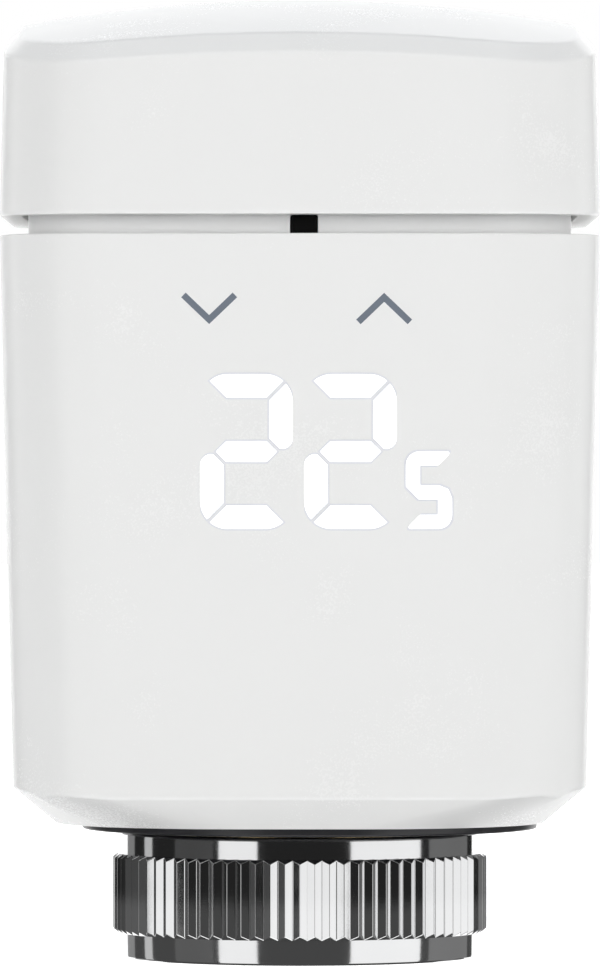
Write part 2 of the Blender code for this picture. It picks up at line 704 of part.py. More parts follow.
def gearbox():
    """Tray and cover that hold the gears' pins and the motor, and the screws that hold both down."""
    second, first, motor = gear_centres()
    outline = rounded_rectangle(CASE_LOW, CASE_HIGH, CASE_CORNER, 1, 4)
    inside_low = [value + CASE_WALL for value in CASE_LOW]
    inside_high = [value - CASE_WALL for value in CASE_HIGH]
    inside = rounded_rectangle(inside_low, inside_high, CASE_CORNER - CASE_WALL, 1, 4)
    tray = loft([(outline, CASE_FLOOR_Z[0]), (outline, CASE_RIM_Z), (inside, CASE_RIM_Z),
                 (inside, CASE_FLOOR_Z[1])])
    case = place("gearbox_case", tray, "grey_plastic")
    cut(case, [post(2.6, (CASE_FLOOR_Z[0] + 0.5, CASE_RIM_Z), at, 12) for at in CASE_SCREWS], "UNION")
    through = (CASE_FLOOR_Z[0] - 1.0, CASE_RIM_Z + 1.0)
    floor_only = (CASE_FLOOR_Z[0] - 1.0, CASE_FLOOR_Z[1] + 0.2)
    holes = [post(SCREW_HOLE_R, through, at, 12) for at in CASE_SCREWS]
    holes += [post(PIN_BORE_R, floor_only, at, 12) for at in (second, first)]
    holes += [post(OUTPUT_HOLE_R, floor_only, steps=24)]
    cut(case, holes)

    cover = place("gearbox_cover", loft([(outline, z) for z in COVER_Z]), "grey_plastic")
    through = (COVER_Z[0] - 0.7, COVER_Z[1] + 0.7)
    key = double_flat(PLUNGER_R + CLEAR, PLUNGER_FLAT + CLEAR)
    holes = [post(SCREW_HOLE_R, through, at, 12) for at in CASE_SCREWS]
    holes += [post(PIN_BORE_R, through, at, 12) for at in (second, first)]
    holes += [post(MOTOR_R + CLEAR, through, motor, 20), loft([(key, z) for z in through])]
    cut(cover, holes)
    for letter, at in zip("abcd", CASE_SCREWS):
        screw("gearbox_screw_" + letter, (*at, COVER_Z[1] + CLEAR), CASE_SCREW_LENGTH)
    for letter, at in zip("abc", COLLAR_SCREWS):
        screw("collar_screw_" + letter, (*at, FLANGE_Z[1] + CLEAR), COLLAR_SCREW_LENGTH)


def motor_body():
    """Motor can with its plastic end cap."""
    motor = gear_centres()[2]
    low, high = MOTOR_Z
    bore_r = MOTOR_SHAFT_R + CLEAR
    can = turned([(bore_r, low), (MOTOR_R - 0.4, low), (MOTOR_R, low + 0.4), (MOTOR_R, high),
                  (bore_r, high)], 24)
    place("motor_can", can, "steel", at=(*motor, 0))
    low, high = MOTOR_END_Z
    end = turned([(0, low), (MOTOR_R - 0.4, low), (MOTOR_R - 0.4, high - 0.4), (MOTOR_R - 0.8, high),
                  (0, high)], 20, closed=False)
    place("motor_end_cap", end, "black_plastic", at=(*motor, 0))


def segment_boxes(centre_x, centre_z, size, depth):
    """Wells of one seven-segment digit, as boxes through the light guide."""
    width, height = size
    thick = width * 0.2
    half_w = (width - thick) / 2
    half_h = (height - thick) / 2
    boxes = []
    for level in (-half_h, 0, half_h):
        boxes.append(((centre_x - half_w + thick, centre_z + level - thick / 2),
                      (centre_x + half_w - thick, centre_z + level + thick / 2)))
    for side in (-half_w, half_w):
        for level in (-half_h / 2, half_h / 2):
            boxes.append(((centre_x + side - thick / 2, centre_z + level - half_h / 2 + thick * 0.6),
                          (centre_x + side + thick / 2, centre_z + level + half_h / 2 - thick * 0.6)))
    return [block((x0, depth[0], z0), (x1, depth[1], z1)) for (x0, z0), (x1, z1) in boxes]


def electronics():
    """Display stack at the front, main board at the back, and the link between them."""
    def layer(name, x, y, z, material, edge=0.0):
        low, high = zip(x, y, z)
        return place(name, block(low, high, edge), material)

    guide = layer("light_guide", DISPLAY_X, GUIDE_Y, DISPLAY_Z, "light_plastic", 0.3)
    wells = []
    for x, z, size in zip(DIGIT_X, DIGIT_Z, DIGIT_SIZE):
        wells += segment_boxes(x, z, size, (GUIDE_Y[0] - 1.0, GUIDE_Y[1] + 1.0))
    cut(guide, wells)
    layer("display_diffuser", DISPLAY_X, DIFFUSER_Y, DISPLAY_Z, "diffuser")
    layer("display_board", (-18.5, 18.5), DISPLAY_BOARD_Y, (34.0, 60.5), "board_green")
    layer("main_board", (-16.0, 16.0), (20.0, 21.0), (33.0, 60.0), "board_green")
    layer("radio_module", (-5.0, 7.0), (17.2, 19.7), (46.0, 58.0), "steel", 0.3)
    layer("antenna", (-13.5, 13.5), (21.3, 21.7), (53.0, 58.5), "copper")
    for name, x in zip(("touch_electrode_down", "touch_electrode_up"), TOUCH_X):
        layer(name, (x - TOUCH_HALF, x + TOUCH_HALF), TOUCH_Y, TOUCH_Z, "copper")

    can = turned([(0, 0), (2.3, 0), (2.5, 0.3), (2.5, 3.0), (0, 3.0)], 16, closed=False)
    bmesh.ops.rotate(can, verts=can.verts, matrix=Matrix.Rotation(math.radians(-90), 3, "X"))
    place("capacitor", can, "black_plastic", at=(-10.5, 16.6, 38.5))

    route = [(-17.5, -18.2), (-20.6, -15.0), (-20.6, 18.0), (-17.0, 19.7)]
    strip = route + [(x + FLEX_THICK, y) for x, y in reversed(route)]
    place("flex_link", loft([(strip, 36.0), (strip, 42.0)]), "copper")


def main():
    """Clear the scene and build every piece."""
    for obj in list(bpy.data.objects):
        bpy.data.objects.remove(obj)
    second, first, motor = gear_centres()
    axes = {
        "cap_lift": joint_axis("cap_lift", (0, 0, CAP_LIP_Z)),
        "nut_spin": joint_axis("nut_spin", (0, 0, 0)),
        "output_spin": joint_axis("output_spin", (0, 0, WHEEL_OUT_Z[0])),
        "second_spin": joint_axis("second_spin", (*second, WHEEL_TWO_Z[0])),
        "first_spin": joint_axis("first_spin", (*first, WHEEL_ONE_Z[0])),
        "motor_spin": joint_axis("motor_spin", (*motor, WHEEL_ONE_Z[0])),
        "plunger_slide": joint_axis("plunger_slide", (0, 0, PLUNGER_TIP_Z)),
    }
    body_shell()
    seal_plate()
    cap_shell(axes["cap_lift"])
    battery_frame()
    sensor_window()
    thermistor()
    batteries()
    battery_contacts(axes["cap_lift"])
    valve_collar()
    retaining_ring()
    union_nut(axes["nut_spin"])
    gearbox()
    gear_train(axes)
    plunger(axes["plunger_slide"])
    motor_body()
    electronics()


main()
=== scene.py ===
import json
import math

import bmesh
import bpy
from bpy.props import FloatProperty, FloatVectorProperty, IntProperty, PointerProperty
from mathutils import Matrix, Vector


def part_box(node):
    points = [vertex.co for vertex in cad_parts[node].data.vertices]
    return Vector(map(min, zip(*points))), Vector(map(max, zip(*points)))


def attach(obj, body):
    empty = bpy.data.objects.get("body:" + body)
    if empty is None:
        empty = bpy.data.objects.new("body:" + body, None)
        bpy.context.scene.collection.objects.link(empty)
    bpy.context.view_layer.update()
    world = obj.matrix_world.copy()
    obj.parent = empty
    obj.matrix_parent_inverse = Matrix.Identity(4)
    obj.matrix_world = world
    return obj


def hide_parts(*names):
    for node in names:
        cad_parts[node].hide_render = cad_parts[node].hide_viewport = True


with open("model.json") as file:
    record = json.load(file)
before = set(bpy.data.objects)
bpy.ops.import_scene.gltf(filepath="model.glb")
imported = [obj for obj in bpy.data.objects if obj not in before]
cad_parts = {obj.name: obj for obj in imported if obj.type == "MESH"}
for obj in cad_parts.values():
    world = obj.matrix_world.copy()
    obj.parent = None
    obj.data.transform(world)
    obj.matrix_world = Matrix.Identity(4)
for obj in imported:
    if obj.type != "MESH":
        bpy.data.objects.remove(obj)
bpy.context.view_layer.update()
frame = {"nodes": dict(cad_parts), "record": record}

bl_info = {
    "name": "Radiator thermostat head",
    "version": (1, 0, 0),
    "blender": (4, 5, 0),
    "location": "View3D > Sidebar > Thermostat head",
    "description": "Builds the finished pieces of a radiator-valve thermostat head on its packed frame",
    "category": "Add Mesh",
}

MM = 0.001

BODY_LOW, BODY_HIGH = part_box("body_shell")
CAP_LOW, CAP_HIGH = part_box("cap_shell")
NECK_LOW, NECK_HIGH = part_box("battery_frame")
WINDOW_LOW, WINDOW_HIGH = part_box("sensor_window")
SEAL_LOW, SEAL_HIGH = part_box("seal_plate")
NUT_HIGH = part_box("union_nut")[1]
COLLAR_LOW, COLLAR_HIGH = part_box("valve_collar")

CORNER_STEPS = 8
SIDE_CUTS = 7
LOOP_POINTS = 4 * (CORNER_STEPS + 1 + SIDE_CUTS)
ROUND_STEPS = 96
THREAD_TURNS = 4
STACK_STEP = 0.1
FINE_CUT = 1e-7
WELD = 1e-6
SLANT = math.sqrt(0.5)
TIP_REACH = 1.40 * MM
LIT_FOR_TWO = ("top", "upper_right", "middle", "lower_left", "bottom")


# ---------------------------------------------------------------- sizes and colours


def length(name, description, default):
    """A length property in metres."""
    return FloatProperty(name=name, description=description, default=default, unit="LENGTH", precision=5)


def colour(name, description, default):
    """A colour property."""
    return FloatVectorProperty(name=name, description=description, default=default, subtype="COLOR",
                               min=0.0, max=1.0, size=3)


class HousingSizes(bpy.types.PropertyGroup):
    """Sizes of the housing below the cap."""
    knee_half: length("Knee half width", "Half width just above the foot chamfer", 25.83 * MM)
    foot_half: length("Foot half width", "Half width of the underside", 22.25 * MM)
    corner: length("Corner radius", "Radius of the upright corners", 9.2 * MM)
    foot_corner: length("Foot corner radius", "Radius of the underside's corners", 16.5 * MM)
    knee_front_z: length("Knee height, front", "Height of the foot chamfer at front and back", 15.4 * MM)
    knee_side_z: length("Knee height, sides", "Height of the foot chamfer at the sides", 16.2 * MM)
    wall: length("Wall", "Wall thickness", 2.0 * MM)
    floor_under_z: length("Recess height", "Height of the recess over the seal plate", 13.2 * MM)
    floor_top_z: length("Floor height", "Height of the inner floor", 15.0 * MM)
    hole_radius: length("Collar hole radius", "Radius of the floor's hole", 12.3 * MM)
    edge: length("Edge rounding", "Width of the rounded edges", 0.28 * MM)


class CapSizes(bpy.types.PropertyGroup):
    """Sizes of the lift-off cap."""
    top_half: length("Top half width", "Half width under the bevel", 26.65 * MM)
    bevel_in: length("Bevel width", "How far the bevel goes in", 1.55 * MM)
    bevel_high: length("Bevel height", "How high the bevel is", 1.8 * MM)
    lip_edge: length("Lip rounding", "Width of the lower lip's rounded edge", 0.35 * MM)
    fall_x: FloatProperty(name="Dome fall, X", description="Curvature of the dome across", default=3.6)
    fall_y: FloatProperty(name="Dome fall, Y", description="Curvature of the dome in depth", default=6.44)
    twist: FloatProperty(name="Dome flattening", description="Flattening towards corners", default=1530.0)


class FrameSizes(bpy.types.PropertyGroup):
    """Sizes of the inner frame that carries the cells."""
    half: length("Neck half width", "Half width of the neck in the gap", 24.4 * MM)
    corner: length("Neck corner radius", "Radius of the neck's corners", 6.3 * MM)
    wall: length("Wall", "Wall thickness of the neck", 1.6 * MM)
    shoulder_z: length("Shoulder height", "Where the cell box meets the neck", 61.0 * MM)
    cell_radius: length("Cell radius", "Radius of one cell", 7.25 * MM)


class NutSizes(bpy.types.PropertyGroup):
    """Sizes of the union nut."""
    plain_radius: length("Plain radius", "Radius of the smooth bands", 16.4 * MM)
    root_radius: length("Root radius", "Radius between the ridges", 16.75 * MM)
    ridges: IntProperty(name="Ridges", description="Number of knurl ridges", default=80, min=12, max=200)
    bore_radius: length("Bore radius", "Radius of the bore at the thread's root", 15.1 * MM)
    thread_radius: length("Thread radius", "Radius at the thread's crest", 14.2 * MM)
    pitch: length("Thread pitch", "Rise of the thread in one turn", 1.5 * MM)
    lip_radius: length("Lip radius", "Radius of the inner lip's hole", 12.4 * MM)


class DisplaySizes(bpy.types.PropertyGroup):
    """Sizes of the lit reading and the two printed marks."""
    digit_width: length("Digit width", "Width of a large digit", 8.21 * MM)
    digit_height: length("Digit height", "Height of a large digit", 13.75 * MM)
    stroke: length("Stroke", "Width of a large digit's segments", 2.08 * MM)
    corner: length("Corner radius", "Outer corner radius of a large digit", 2.45 * MM)
    gap: length("Gap", "Gap between two segments", 0.36 * MM)
    spacing: length("Spacing", "Distance from one large digit to the next", 9.25 * MM)
    # The rim is a grey line of painted shade round each segment.
    rim: length("Rim", "Width of the grey line round each segment", 0.16 * MM)
    mark_reach: length("Mark reach", "Half the width of a printed mark", 2.29 * MM)
    mark_rise: length("Mark rise", "Height of a printed mark", 2.19 * MM)
    mark_stroke: length("Mark stroke", "Line width of a printed mark", 0.58 * MM)


class FinishColours(bpy.types.PropertyGroup):
    """Base colours of the finishes."""
    shell: colour("Shell", "White moulded plastic", (0.86, 0.858, 0.845))
    inner: colour("Inner frame", "Light grey moulded plastic", (0.84, 0.842, 0.84))
    dark: colour("Dark parts", "Black moulded plastic", (0.018, 0.018, 0.02))
    print: colour("Printed marks", "Grey-blue print", (0.145, 0.175, 0.222))
    plated: colour("Plated metal", "Bright plating of the nut", (0.83, 0.835, 0.84))
    foil: colour("Cell jacket", "Foil round the cells", (0.07, 0.25, 0.38))
    lit: colour("Lit segments", "Light of the reading", (1.0, 1.0, 1.0))


# ---------------------------------------------------------------- modelling helpers


def deselect():
    """Object mode, with nothing selected."""
    if bpy.context.object and bpy.context.object.mode != "OBJECT":
        bpy.ops.object.mode_set(mode="OBJECT")
    bpy.ops.object.select_all(action="DESELECT")


def choose(piece):
    """Makes one piece the only selected and the active one."""
    deselect()
    piece.select_set(True)
    bpy.context.view_layer.objects.active = piece


def edit(piece):
    """Goes into edit mode on one piece, with nothing of it selected."""
    choose(piece)
    bpy.ops.object.mode_set(mode="EDIT")
    bpy.ops.mesh.select_mode(type="VERT")
    bpy.ops.mesh.select_all(action="DESELECT")


def pick(kind, test):
    """Selects what passes the test among the edited mesh's vertices, edges or faces."""
    bpy.ops.mesh.select_mode(type=kind)
    bpy.ops.mesh.select_all(action="DESELECT")
    mesh = bpy.context.object.data
    shape = bmesh.from_edit_mesh(mesh)
    parts = {"VERT": shape.verts, "EDGE": shape.edges, "FACE": shape.faces}[kind]
    for part in parts:
        if test(part):
            part.select_set(True)
    shape.select_flush_mode()
    bmesh.update_edit_mesh(mesh)


def apply_place(piece):
    """Moves a piece's place, turn and scale into its mesh."""
    choose(piece)
    bpy.ops.object.transform_apply(location=True, rotation=True, scale=True)


def apply_modifier(piece, kind, **settings):
    """Adds a modifier to a piece and applies it."""
    choose(piece)
    modifier = piece.modifiers.new(kind.lower(), kind)
    for name, value in settings.items():
        setattr(modifier, name, value)
    bpy.ops.object.modifier_apply(modifier=modifier.name)


def join(name, pieces):
    """Joins pieces into the first one."""
    deselect()
    for piece in pieces:
        piece.select_set(True)
    bpy.context.view_layer.objects.active = pieces[0]
    if len(pieces) > 1:
        bpy.ops.object.join()
    pieces[0].name = name
    pieces[0].data.name = name
    return pieces[0]


def round_loop(radius, z, points=ROUND_STEPS, centre_x=0.0):
    """An open circle."""
    deselect()
    bpy.ops.mesh.primitive_circle_add(vertices=points, radius=radius, location=(centre_x, 0, z))
    loop = bpy.context.object
    apply_place(loop)
    return loop


def square_loop(half, corner, z, centre=(0.0, 0.0), half_deep=None):
    """A rounded square outline with the same number of points at any size."""
    deep = half if half_deep is None else half_deep
    deselect()
    bpy.ops.mesh.primitive_plane_add(size=2.0, location=(*centre, z))
    loop = bpy.context.object
    loop.scale = (half, deep, 1.0)
    apply_place(loop)
    edit(loop)
    bpy.ops.mesh.select_all(action="SELECT")
    bpy.ops.mesh.bevel(offset=corner, segments=CORNER_STEPS, affect="VERTICES")
    longest = 2.2 * corner * math.pi / 2 / CORNER_STEPS
    straight = min(half, deep) - corner
    pick("EDGE", lambda e: e.calc_length() > max(longest, straight))
    bpy.ops.mesh.subdivide(number_cuts=SIDE_CUTS)
    bpy.ops.mesh.select_all(action="SELECT")
    bpy.ops.mesh.delete(type="ONLY_FACE")
    bpy.ops.object.mode_set(mode="OBJECT")
    return loop


def eased(rows, rounding, steps=4):
    """Rounds the chosen corners of a profile. rounding maps a row's number to its width."""
    smooth = []
    for number, row in enumerate(rows):
        width = rounding.get(number)
        if width is None:
            smooth.append(tuple(row))
            continue
        here, before, after = Vector(row), Vector(rows[number - 1]), Vector(rows[(number + 1) % len(rows)])
        start = here + (before - here).normalized() * width
        end = here + (after - here).normalized() * width
        for step in range(steps + 1):
            share = step / steps
            bend = start * (1 - share) ** 2 + here * 2 * share * (1 - share) + end * share ** 2
            smooth.append(tuple(bend))
    return smooth


def select_loops(piece, *numbers):
    """Selects whole loops of a skin by their number."""
    bpy.ops.mesh.select_all(action="DESELECT")
    for number in numbers:
        piece.vertex_groups.active_index = piece.vertex_groups[f"loop_{number}"].index
        bpy.ops.object.vertex_group_select()


def skin(name, loops, closed=False, fill=False):
    """Bridges each loop to the next. The ends are joined up, filled, or left open.

    The loops are bridged stacked apart and then lowered, because loops in one plane get twisted."""
    for number, loop in enumerate(loops):
        group = loop.vertex_groups.new(name=f"loop_{number}")
        group.add(range(len(loop.data.vertices)), 1.0, "REPLACE")
        loop.location.z = STACK_STEP * number
        apply_place(loop)
    piece = join(name, loops)
    edit(piece)
    last = len(loops) - 1
    pairs = [(number, number + 1) for number in range(last)]
    if closed:
        pairs.append((last, 0))
    for first, second in pairs:
        select_loops(piece, first, second)
        bpy.ops.mesh.bridge_edge_loops()
    for number in range(len(loops)):
        select_loops(piece, number)
        bpy.ops.transform.translate(value=(0, 0, -STACK_STEP * number))
    if fill:
        for end in (0, last):
            select_loops(piece, end)
            bpy.ops.mesh.edge_face_add()
            bpy.ops.mesh.poke()
    outward(piece)
    return piece


def outward(piece):
    """Turns every face of a closed piece outwards."""
    edit(piece)
    bpy.ops.mesh.select_all(action="SELECT")
    bpy.ops.mesh.normals_make_consistent(inside=False)
    bpy.ops.object.mode_set(mode="OBJECT")


def turned(name, profile, closed=True, points=ROUND_STEPS, rounding=None):
    """A lathe-turned piece from (radius, height) rows."""
    rows = eased(profile, rounding or {})
    loops = [round_loop(radius, z, points) for radius, z in rows]
    return skin(name, loops, closed=closed, fill=not closed)


def bevelled_box(name, low, high, edge):
    """A box with rounded edges."""
    low, high = Vector(low), Vector(high)
    deselect()
    bpy.ops.mesh.primitive_cube_add(size=1.0, location=(low + high) / 2)
    piece = bpy.context.object
    piece.name = name
    piece.scale = high - low
    apply_place(piece)
    edit(piece)
    bpy.ops.mesh.select_all(action="SELECT")
    bpy.ops.mesh.bevel(offset=edge, segments=3, affect="EDGES")
    bpy.ops.object.mode_set(mode="OBJECT")
    return piece


def done(piece, material, body, replaces=(), smooth_angle=32, weighted=True):
    """Smooths a piece, gives it its finish and lets it ride on its body."""
    choose(piece)
    piece.vertex_groups.clear()
    bpy.ops.object.shade_smooth_by_angle(angle=math.radians(smooth_angle))
    if weighted:
        apply_modifier(piece, "WEIGHTED_NORMAL", keep_sharp=True, weight=60)
    piece.data.materials.clear()
    piece.data.materials.append(material)
    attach(piece, body)
    if replaces:
        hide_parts(*replaces)
    return piece


# ---------------------------------------------------------------- finishes


class Nodes:
    """A short way to write a node tree."""

    def __init__(self, tree):
        self.tree = tree

    def add(self, kind, values=None, **settings):
        """Adds a node, sets its fields, and sets or links its inputs."""
        node = self.tree.nodes.new(kind)
        for name, value in settings.items():
            setattr(node, name, value)
        for name, value in (values or {}).items():
            if isinstance(value, bpy.types.NodeSocket):
                self.tree.links.new(value, node.inputs[name])
            else:
                node.inputs[name].default_value = value
        return node

    def maths(self, operation, first, second=0.0):
        """A Math node's result."""
        return self.add("ShaderNodeMath", {0: first, 1: second}, operation=operation).outputs[0]

    def mixed(self, share, first, second):
        """Two colours mixed."""
        node = self.add("ShaderNodeMix", data_type="RGBA")
        for number, value in ((0, share), (6, first), (7, second)):
            if isinstance(value, bpy.types.NodeSocket):
                self.tree.links.new(value, node.inputs[number])
            else:
                node.inputs[number].default_value = value
        return node.outputs[2]


def node_group(name, inputs, outputs, build):
    """A shader node group, built on its first use."""
    found = bpy.data.node_groups.get(name)
    if found:
        return found
    group = bpy.data.node_groups.new(name, "ShaderNodeTree")
    for label, kind, default in inputs:
        socket = group.interface.new_socket(name=label, in_out="INPUT", socket_type=kind)
        if default is not None:
            socket.default_value = default
    for label, kind in outputs:
        group.interface.new_socket(name=label, in_out="OUTPUT", socket_type=kind)
    nodes = Nodes(group)
    entry = nodes.add("NodeGroupInput")
    leave = nodes.add("NodeGroupOutput")
    for label, value in build(nodes, entry.outputs).items():
        group.links.new(value, leave.inputs[label])
    return group


def moulded_group():
    """Fine spark-eroded grain, faint flow marks and a change of gloss, for moulded plastic."""
    def build(nodes, given):
        grain = nodes.add("ShaderNodeTexNoise", {"Vector": given["Vector"], "Scale": given["Grain Scale"],
                                                 "Detail": 4.0, "Roughness": 0.6})
        flow = nodes.add("ShaderNodeTexNoise", {"Vector": given["Vector"], "Scale": 90.0, "Detail": 3.0})
        specks = nodes.add("ShaderNodeTexVoronoi", {"Vector": given["Vector"], "Scale": 2600.0})
        pits = nodes.maths("MULTIPLY", nodes.maths("SUBTRACT", 0.5, specks.outputs["Distance"]), 0.2)
        height = nodes.maths("SUBTRACT", grain.outputs["Fac"], pits)
        drift = nodes.maths("SUBTRACT", flow.outputs["Fac"], 0.5)
        gloss = nodes.maths("ADD", given["Roughness"],
                            nodes.maths("MULTIPLY", drift, given["Gloss Change"]))
        fine = nodes.maths("MULTIPLY", nodes.maths("SUBTRACT", grain.outputs["Fac"], 0.5),
                           given["Gloss Change"])
        shade = nodes.maths("MULTIPLY", flow.outputs["Fac"], given["Colour Change"])
        tint = nodes.mixed(shade, given["Colour"], given["Second Colour"])
        return {"Colour": tint, "Roughness": nodes.maths("ADD", gloss, fine), "Height": height}

    return node_group(
        "moulded_plastic",
        [("Vector", "NodeSocketVector", None), ("Colour", "NodeSocketColor", (0.8, 0.8, 0.8, 1)),
         ("Second Colour", "NodeSocketColor", (0.7, 0.7, 0.7, 1)), ("Colour Change", "NodeSocketFloat", 0.3),
         ("Roughness", "NodeSocketFloat", 0.3), ("Gloss Change", "NodeSocketFloat", 0.1),
         ("Grain Scale", "NodeSocketFloat", 5000.0)],
        [("Colour", "NodeSocketColor"), ("Roughness", "NodeSocketFloat"), ("Height", "NodeSocketFloat")],
        build)


def machined_group():
    """Fine tool lines round the Z axis, with dull and bright patches, for turned metal."""
    def build(nodes, given):
        parts = nodes.add("ShaderNodeSeparateXYZ", {"Vector": given["Vector"]})
        wander = nodes.add("ShaderNodeTexNoise", {"Vector": given["Vector"], "Scale": 260.0, "Detail": 2.0})
        lift = nodes.maths("MULTIPLY", wander.outputs["Fac"], 0.00006)
        level = nodes.maths("ADD", parts.outputs["Z"], lift)
        lines = nodes.maths("SINE", nodes.maths("MULTIPLY", level, given["Line Scale"]))
        streaks = nodes.add("ShaderNodeTexNoise", {"W": nodes.maths("MULTIPLY", level, 9000.0),
                                                   "Detail": 3.0, "Scale": 1.0}, noise_dimensions="1D")
        height = nodes.maths("ADD", nodes.maths("MULTIPLY", lines, 0.3), streaks.outputs["Fac"])
        patches = nodes.add("ShaderNodeTexNoise", {"Vector": given["Vector"], "Scale": 420.0, "Detail": 5.0})
        dull = nodes.maths("MULTIPLY", patches.outputs["Fac"], given["Dull Patches"])
        gloss = nodes.maths("ADD", given["Roughness"], dull)
        tint = nodes.mixed(nodes.maths("MULTIPLY", patches.outputs["Fac"], 0.35), given["Colour"],
                           given["Second Colour"])
        return {"Colour": tint, "Roughness": gloss, "Height": height}

    return node_group(
        "machined_metal",
        [("Vector", "NodeSocketVector", None), ("Colour", "NodeSocketColor", (0.8, 0.8, 0.8, 1)),
         ("Second Colour", "NodeSocketColor", (0.6, 0.6, 0.6, 1)), ("Roughness", "NodeSocketFloat", 0.1),
         ("Dull Patches", "NodeSocketFloat", 0.08), ("Line Scale", "NodeSocketFloat", 60000.0)],
        [("Colour", "NodeSocketColor"), ("Roughness", "NodeSocketFloat"), ("Height", "NodeSocketFloat")],
        build)


def rgba(values):
    """A colour with its alpha."""
    return (*values, 1.0)


def finish_of(name, group, settings, relief, metallic=0.0, emission=0.0, specular=0.5):
    """A material whose colour, gloss and relief come from a node group."""
    found = bpy.data.materials.get(name)
    if found:
        return found
    made = bpy.data.materials.new(name)
    made.use_nodes = True
    nodes = Nodes(made.node_tree)
    shader = made.node_tree.nodes["Principled BSDF"]
    place = nodes.add("ShaderNodeTexCoord")
    effect = nodes.add("ShaderNodeGroup", node_tree=group)
    made.node_tree.links.new(place.outputs["Object"], effect.inputs["Vector"])
    for label, value in settings.items():
        effect.inputs[label].default_value = value
    bump = nodes.add("ShaderNodeBump", {"Height": effect.outputs["Height"], "Strength": 1.0,
                                        "Distance": relief})
    made.node_tree.links.new(effect.outputs["Colour"], shader.inputs["Base Color"])
    made.node_tree.links.new(effect.outputs["Roughness"], shader.inputs["Roughness"])
    made.node_tree.links.new(bump.outputs["Normal"], shader.inputs["Normal"])
    shader.inputs["Metallic"].default_value = metallic
    shader.inputs["Specular IOR Level"].default_value = specular
    if emission:
        made.node_tree.links.new(effect.outputs["Colour"], shader.inputs["Emission Color"])
        shader.inputs["Emission Strength"].default_value = emission
    return made


def plastic(name, first, second, roughness, gloss_change=0.08, grain=5200.0, relief=1.5e-7, change=0.4,
            emission=0.0, specular=0.5):
    """A moulded plastic."""
    settings = {"Colour": rgba(first), "Second Colour": rgba(second), "Colour Change": change,
                "Roughness": roughness, "Gloss Change": gloss_change, "Grain Scale": grain}
    return finish_of(name, moulded_group(), settings, relief, emission=emission, specular=specular)


def metal(name, first, second, roughness, dull=0.06, lines=60000.0, relief=6e-7):
    """A turned, plated or rolled metal."""
    settings = {"Colour": rgba(first), "Second Colour": rgba(second), "Roughness": roughness,
                "Dull Patches": dull, "Line Scale": lines}
    return finish_of(name, machined_group(), settings, relief, metallic=1.0)


def white_plastic():
    """White satin shell."""
    base = bpy.context.scene.head_colours.shell
    return plastic("shell_white", base, [part * 0.985 for part in base], 0.27, gloss_change=0.02)


def light_plastic():
    """Light grey inner frame."""
    base = bpy.context.scene.head_colours.inner
    return plastic("frame_grey", base, [part * 0.94 for part in base], 0.38, grain=4200.0, relief=2e-6)


def diffuser():
    """Milky film behind the reading."""
    return plastic("milky_film", (0.90, 0.92, 0.95), (0.84, 0.87, 0.92), 0.3, grain=7000.0)


def black_plastic():
    """Black moulded plastic."""
    base = bpy.context.scene.head_colours.dark
    return plastic("moulded_black", base, [part * 2.2 for part in base], 0.3, grain=3600.0, relief=2.5e-6)


def window_black():
    """Deep black, hardly glossy."""
    return plastic("window_black", (0.003, 0.003, 0.003), (0.006, 0.006, 0.006), 0.5, grain=5000.0,
                   specular=0.1)


def grey_plastic():
    """Glass-filled gearbox plastic."""
    return plastic("glass_filled_grey", (0.33, 0.34, 0.35), (0.24, 0.25, 0.26), 0.5, 0.2, 3000.0, 6e-6, 0.9)


def gear_plastic():
    """Natural acetal."""
    return plastic("natural_acetal", (0.87, 0.84, 0.73), (0.80, 0.76, 0.64), 0.36, 0.1, 4000.0, 1.5e-6, 0.7)


def board_green():
    """Solder mask over copper tracks."""
    return plastic("solder_mask", (0.02, 0.17, 0.08), (0.05, 0.30, 0.14), 0.35, 0.25, 1500.0, 8e-6, 1.0)


def battery_jacket():
    """Printed foil."""
    base = bpy.context.scene.head_colours.foil
    return metal("cell_foil", base, [part * 0.7 for part in base], 0.30, 0.12, 20000.0)


def chrome():
    """Bright plating over turned metal."""
    base = bpy.context.scene.head_colours.plated
    return metal("bright_plate", base, [part * 0.93 for part in base], 0.045, 0.07)


def brass():
    """Turned brass."""
    return metal("turned_brass", (0.80, 0.61, 0.31), (0.66, 0.47, 0.22), 0.2, 0.16, 40000.0, 1.5e-6)


def steel():
    """Nickel-plated steel."""
    return metal("nickel_steel", (0.64, 0.64, 0.63), (0.52, 0.52, 0.51), 0.22, 0.18, 30000.0, 1.2e-6)


def copper():
    """Thin copper foil."""
    return metal("copper_foil", (0.84, 0.47, 0.31), (0.66, 0.33, 0.2), 0.26, 0.2, 16000.0, 2e-6)


def print_grey():
    """Pad-printed ink."""
    base = bpy.context.scene.head_colours.print
    return plastic("printed_ink", base, [part * 1.12 for part in base], 0.42, grain=9000.0)


def lit_white():
    """Light coming through a segment."""
    base = bpy.context.scene.head_colours.lit
    return plastic("lit_segment", base, [part * 0.97 for part in base], 0.35, grain=7000.0, emission=0.5)


def painted_shade_rim():
    """Grey line round each segment: painted shade of the segment's recessed edge."""
    return plastic("painted_shade_rim", (0.76, 0.765, 0.80), (0.72, 0.725, 0.76), 0.3, grain=7000.0)


FINISHES = {
    "white_plastic": white_plastic, "light_plastic": light_plastic, "diffuser": diffuser,
    "black_plastic": black_plastic, "grey_plastic": grey_plastic, "gear_plastic": gear_plastic,
    "chrome": chrome, "brass": brass, "steel": steel, "board_green": board_green,
    "battery_jacket": battery_jacket, "copper": copper,
}


# ---------------------------------------------------------------- pieces


def knee_rise(x, y, sizes):
    """How far the foot chamfer's upper edge stands above its height at the front."""
    side = (abs(x) - abs(y)) / (2 * sizes.corner) + 0.5
    return (sizes.knee_side_z - sizes.knee_front_z) * max(0.0, min(1.0, side))


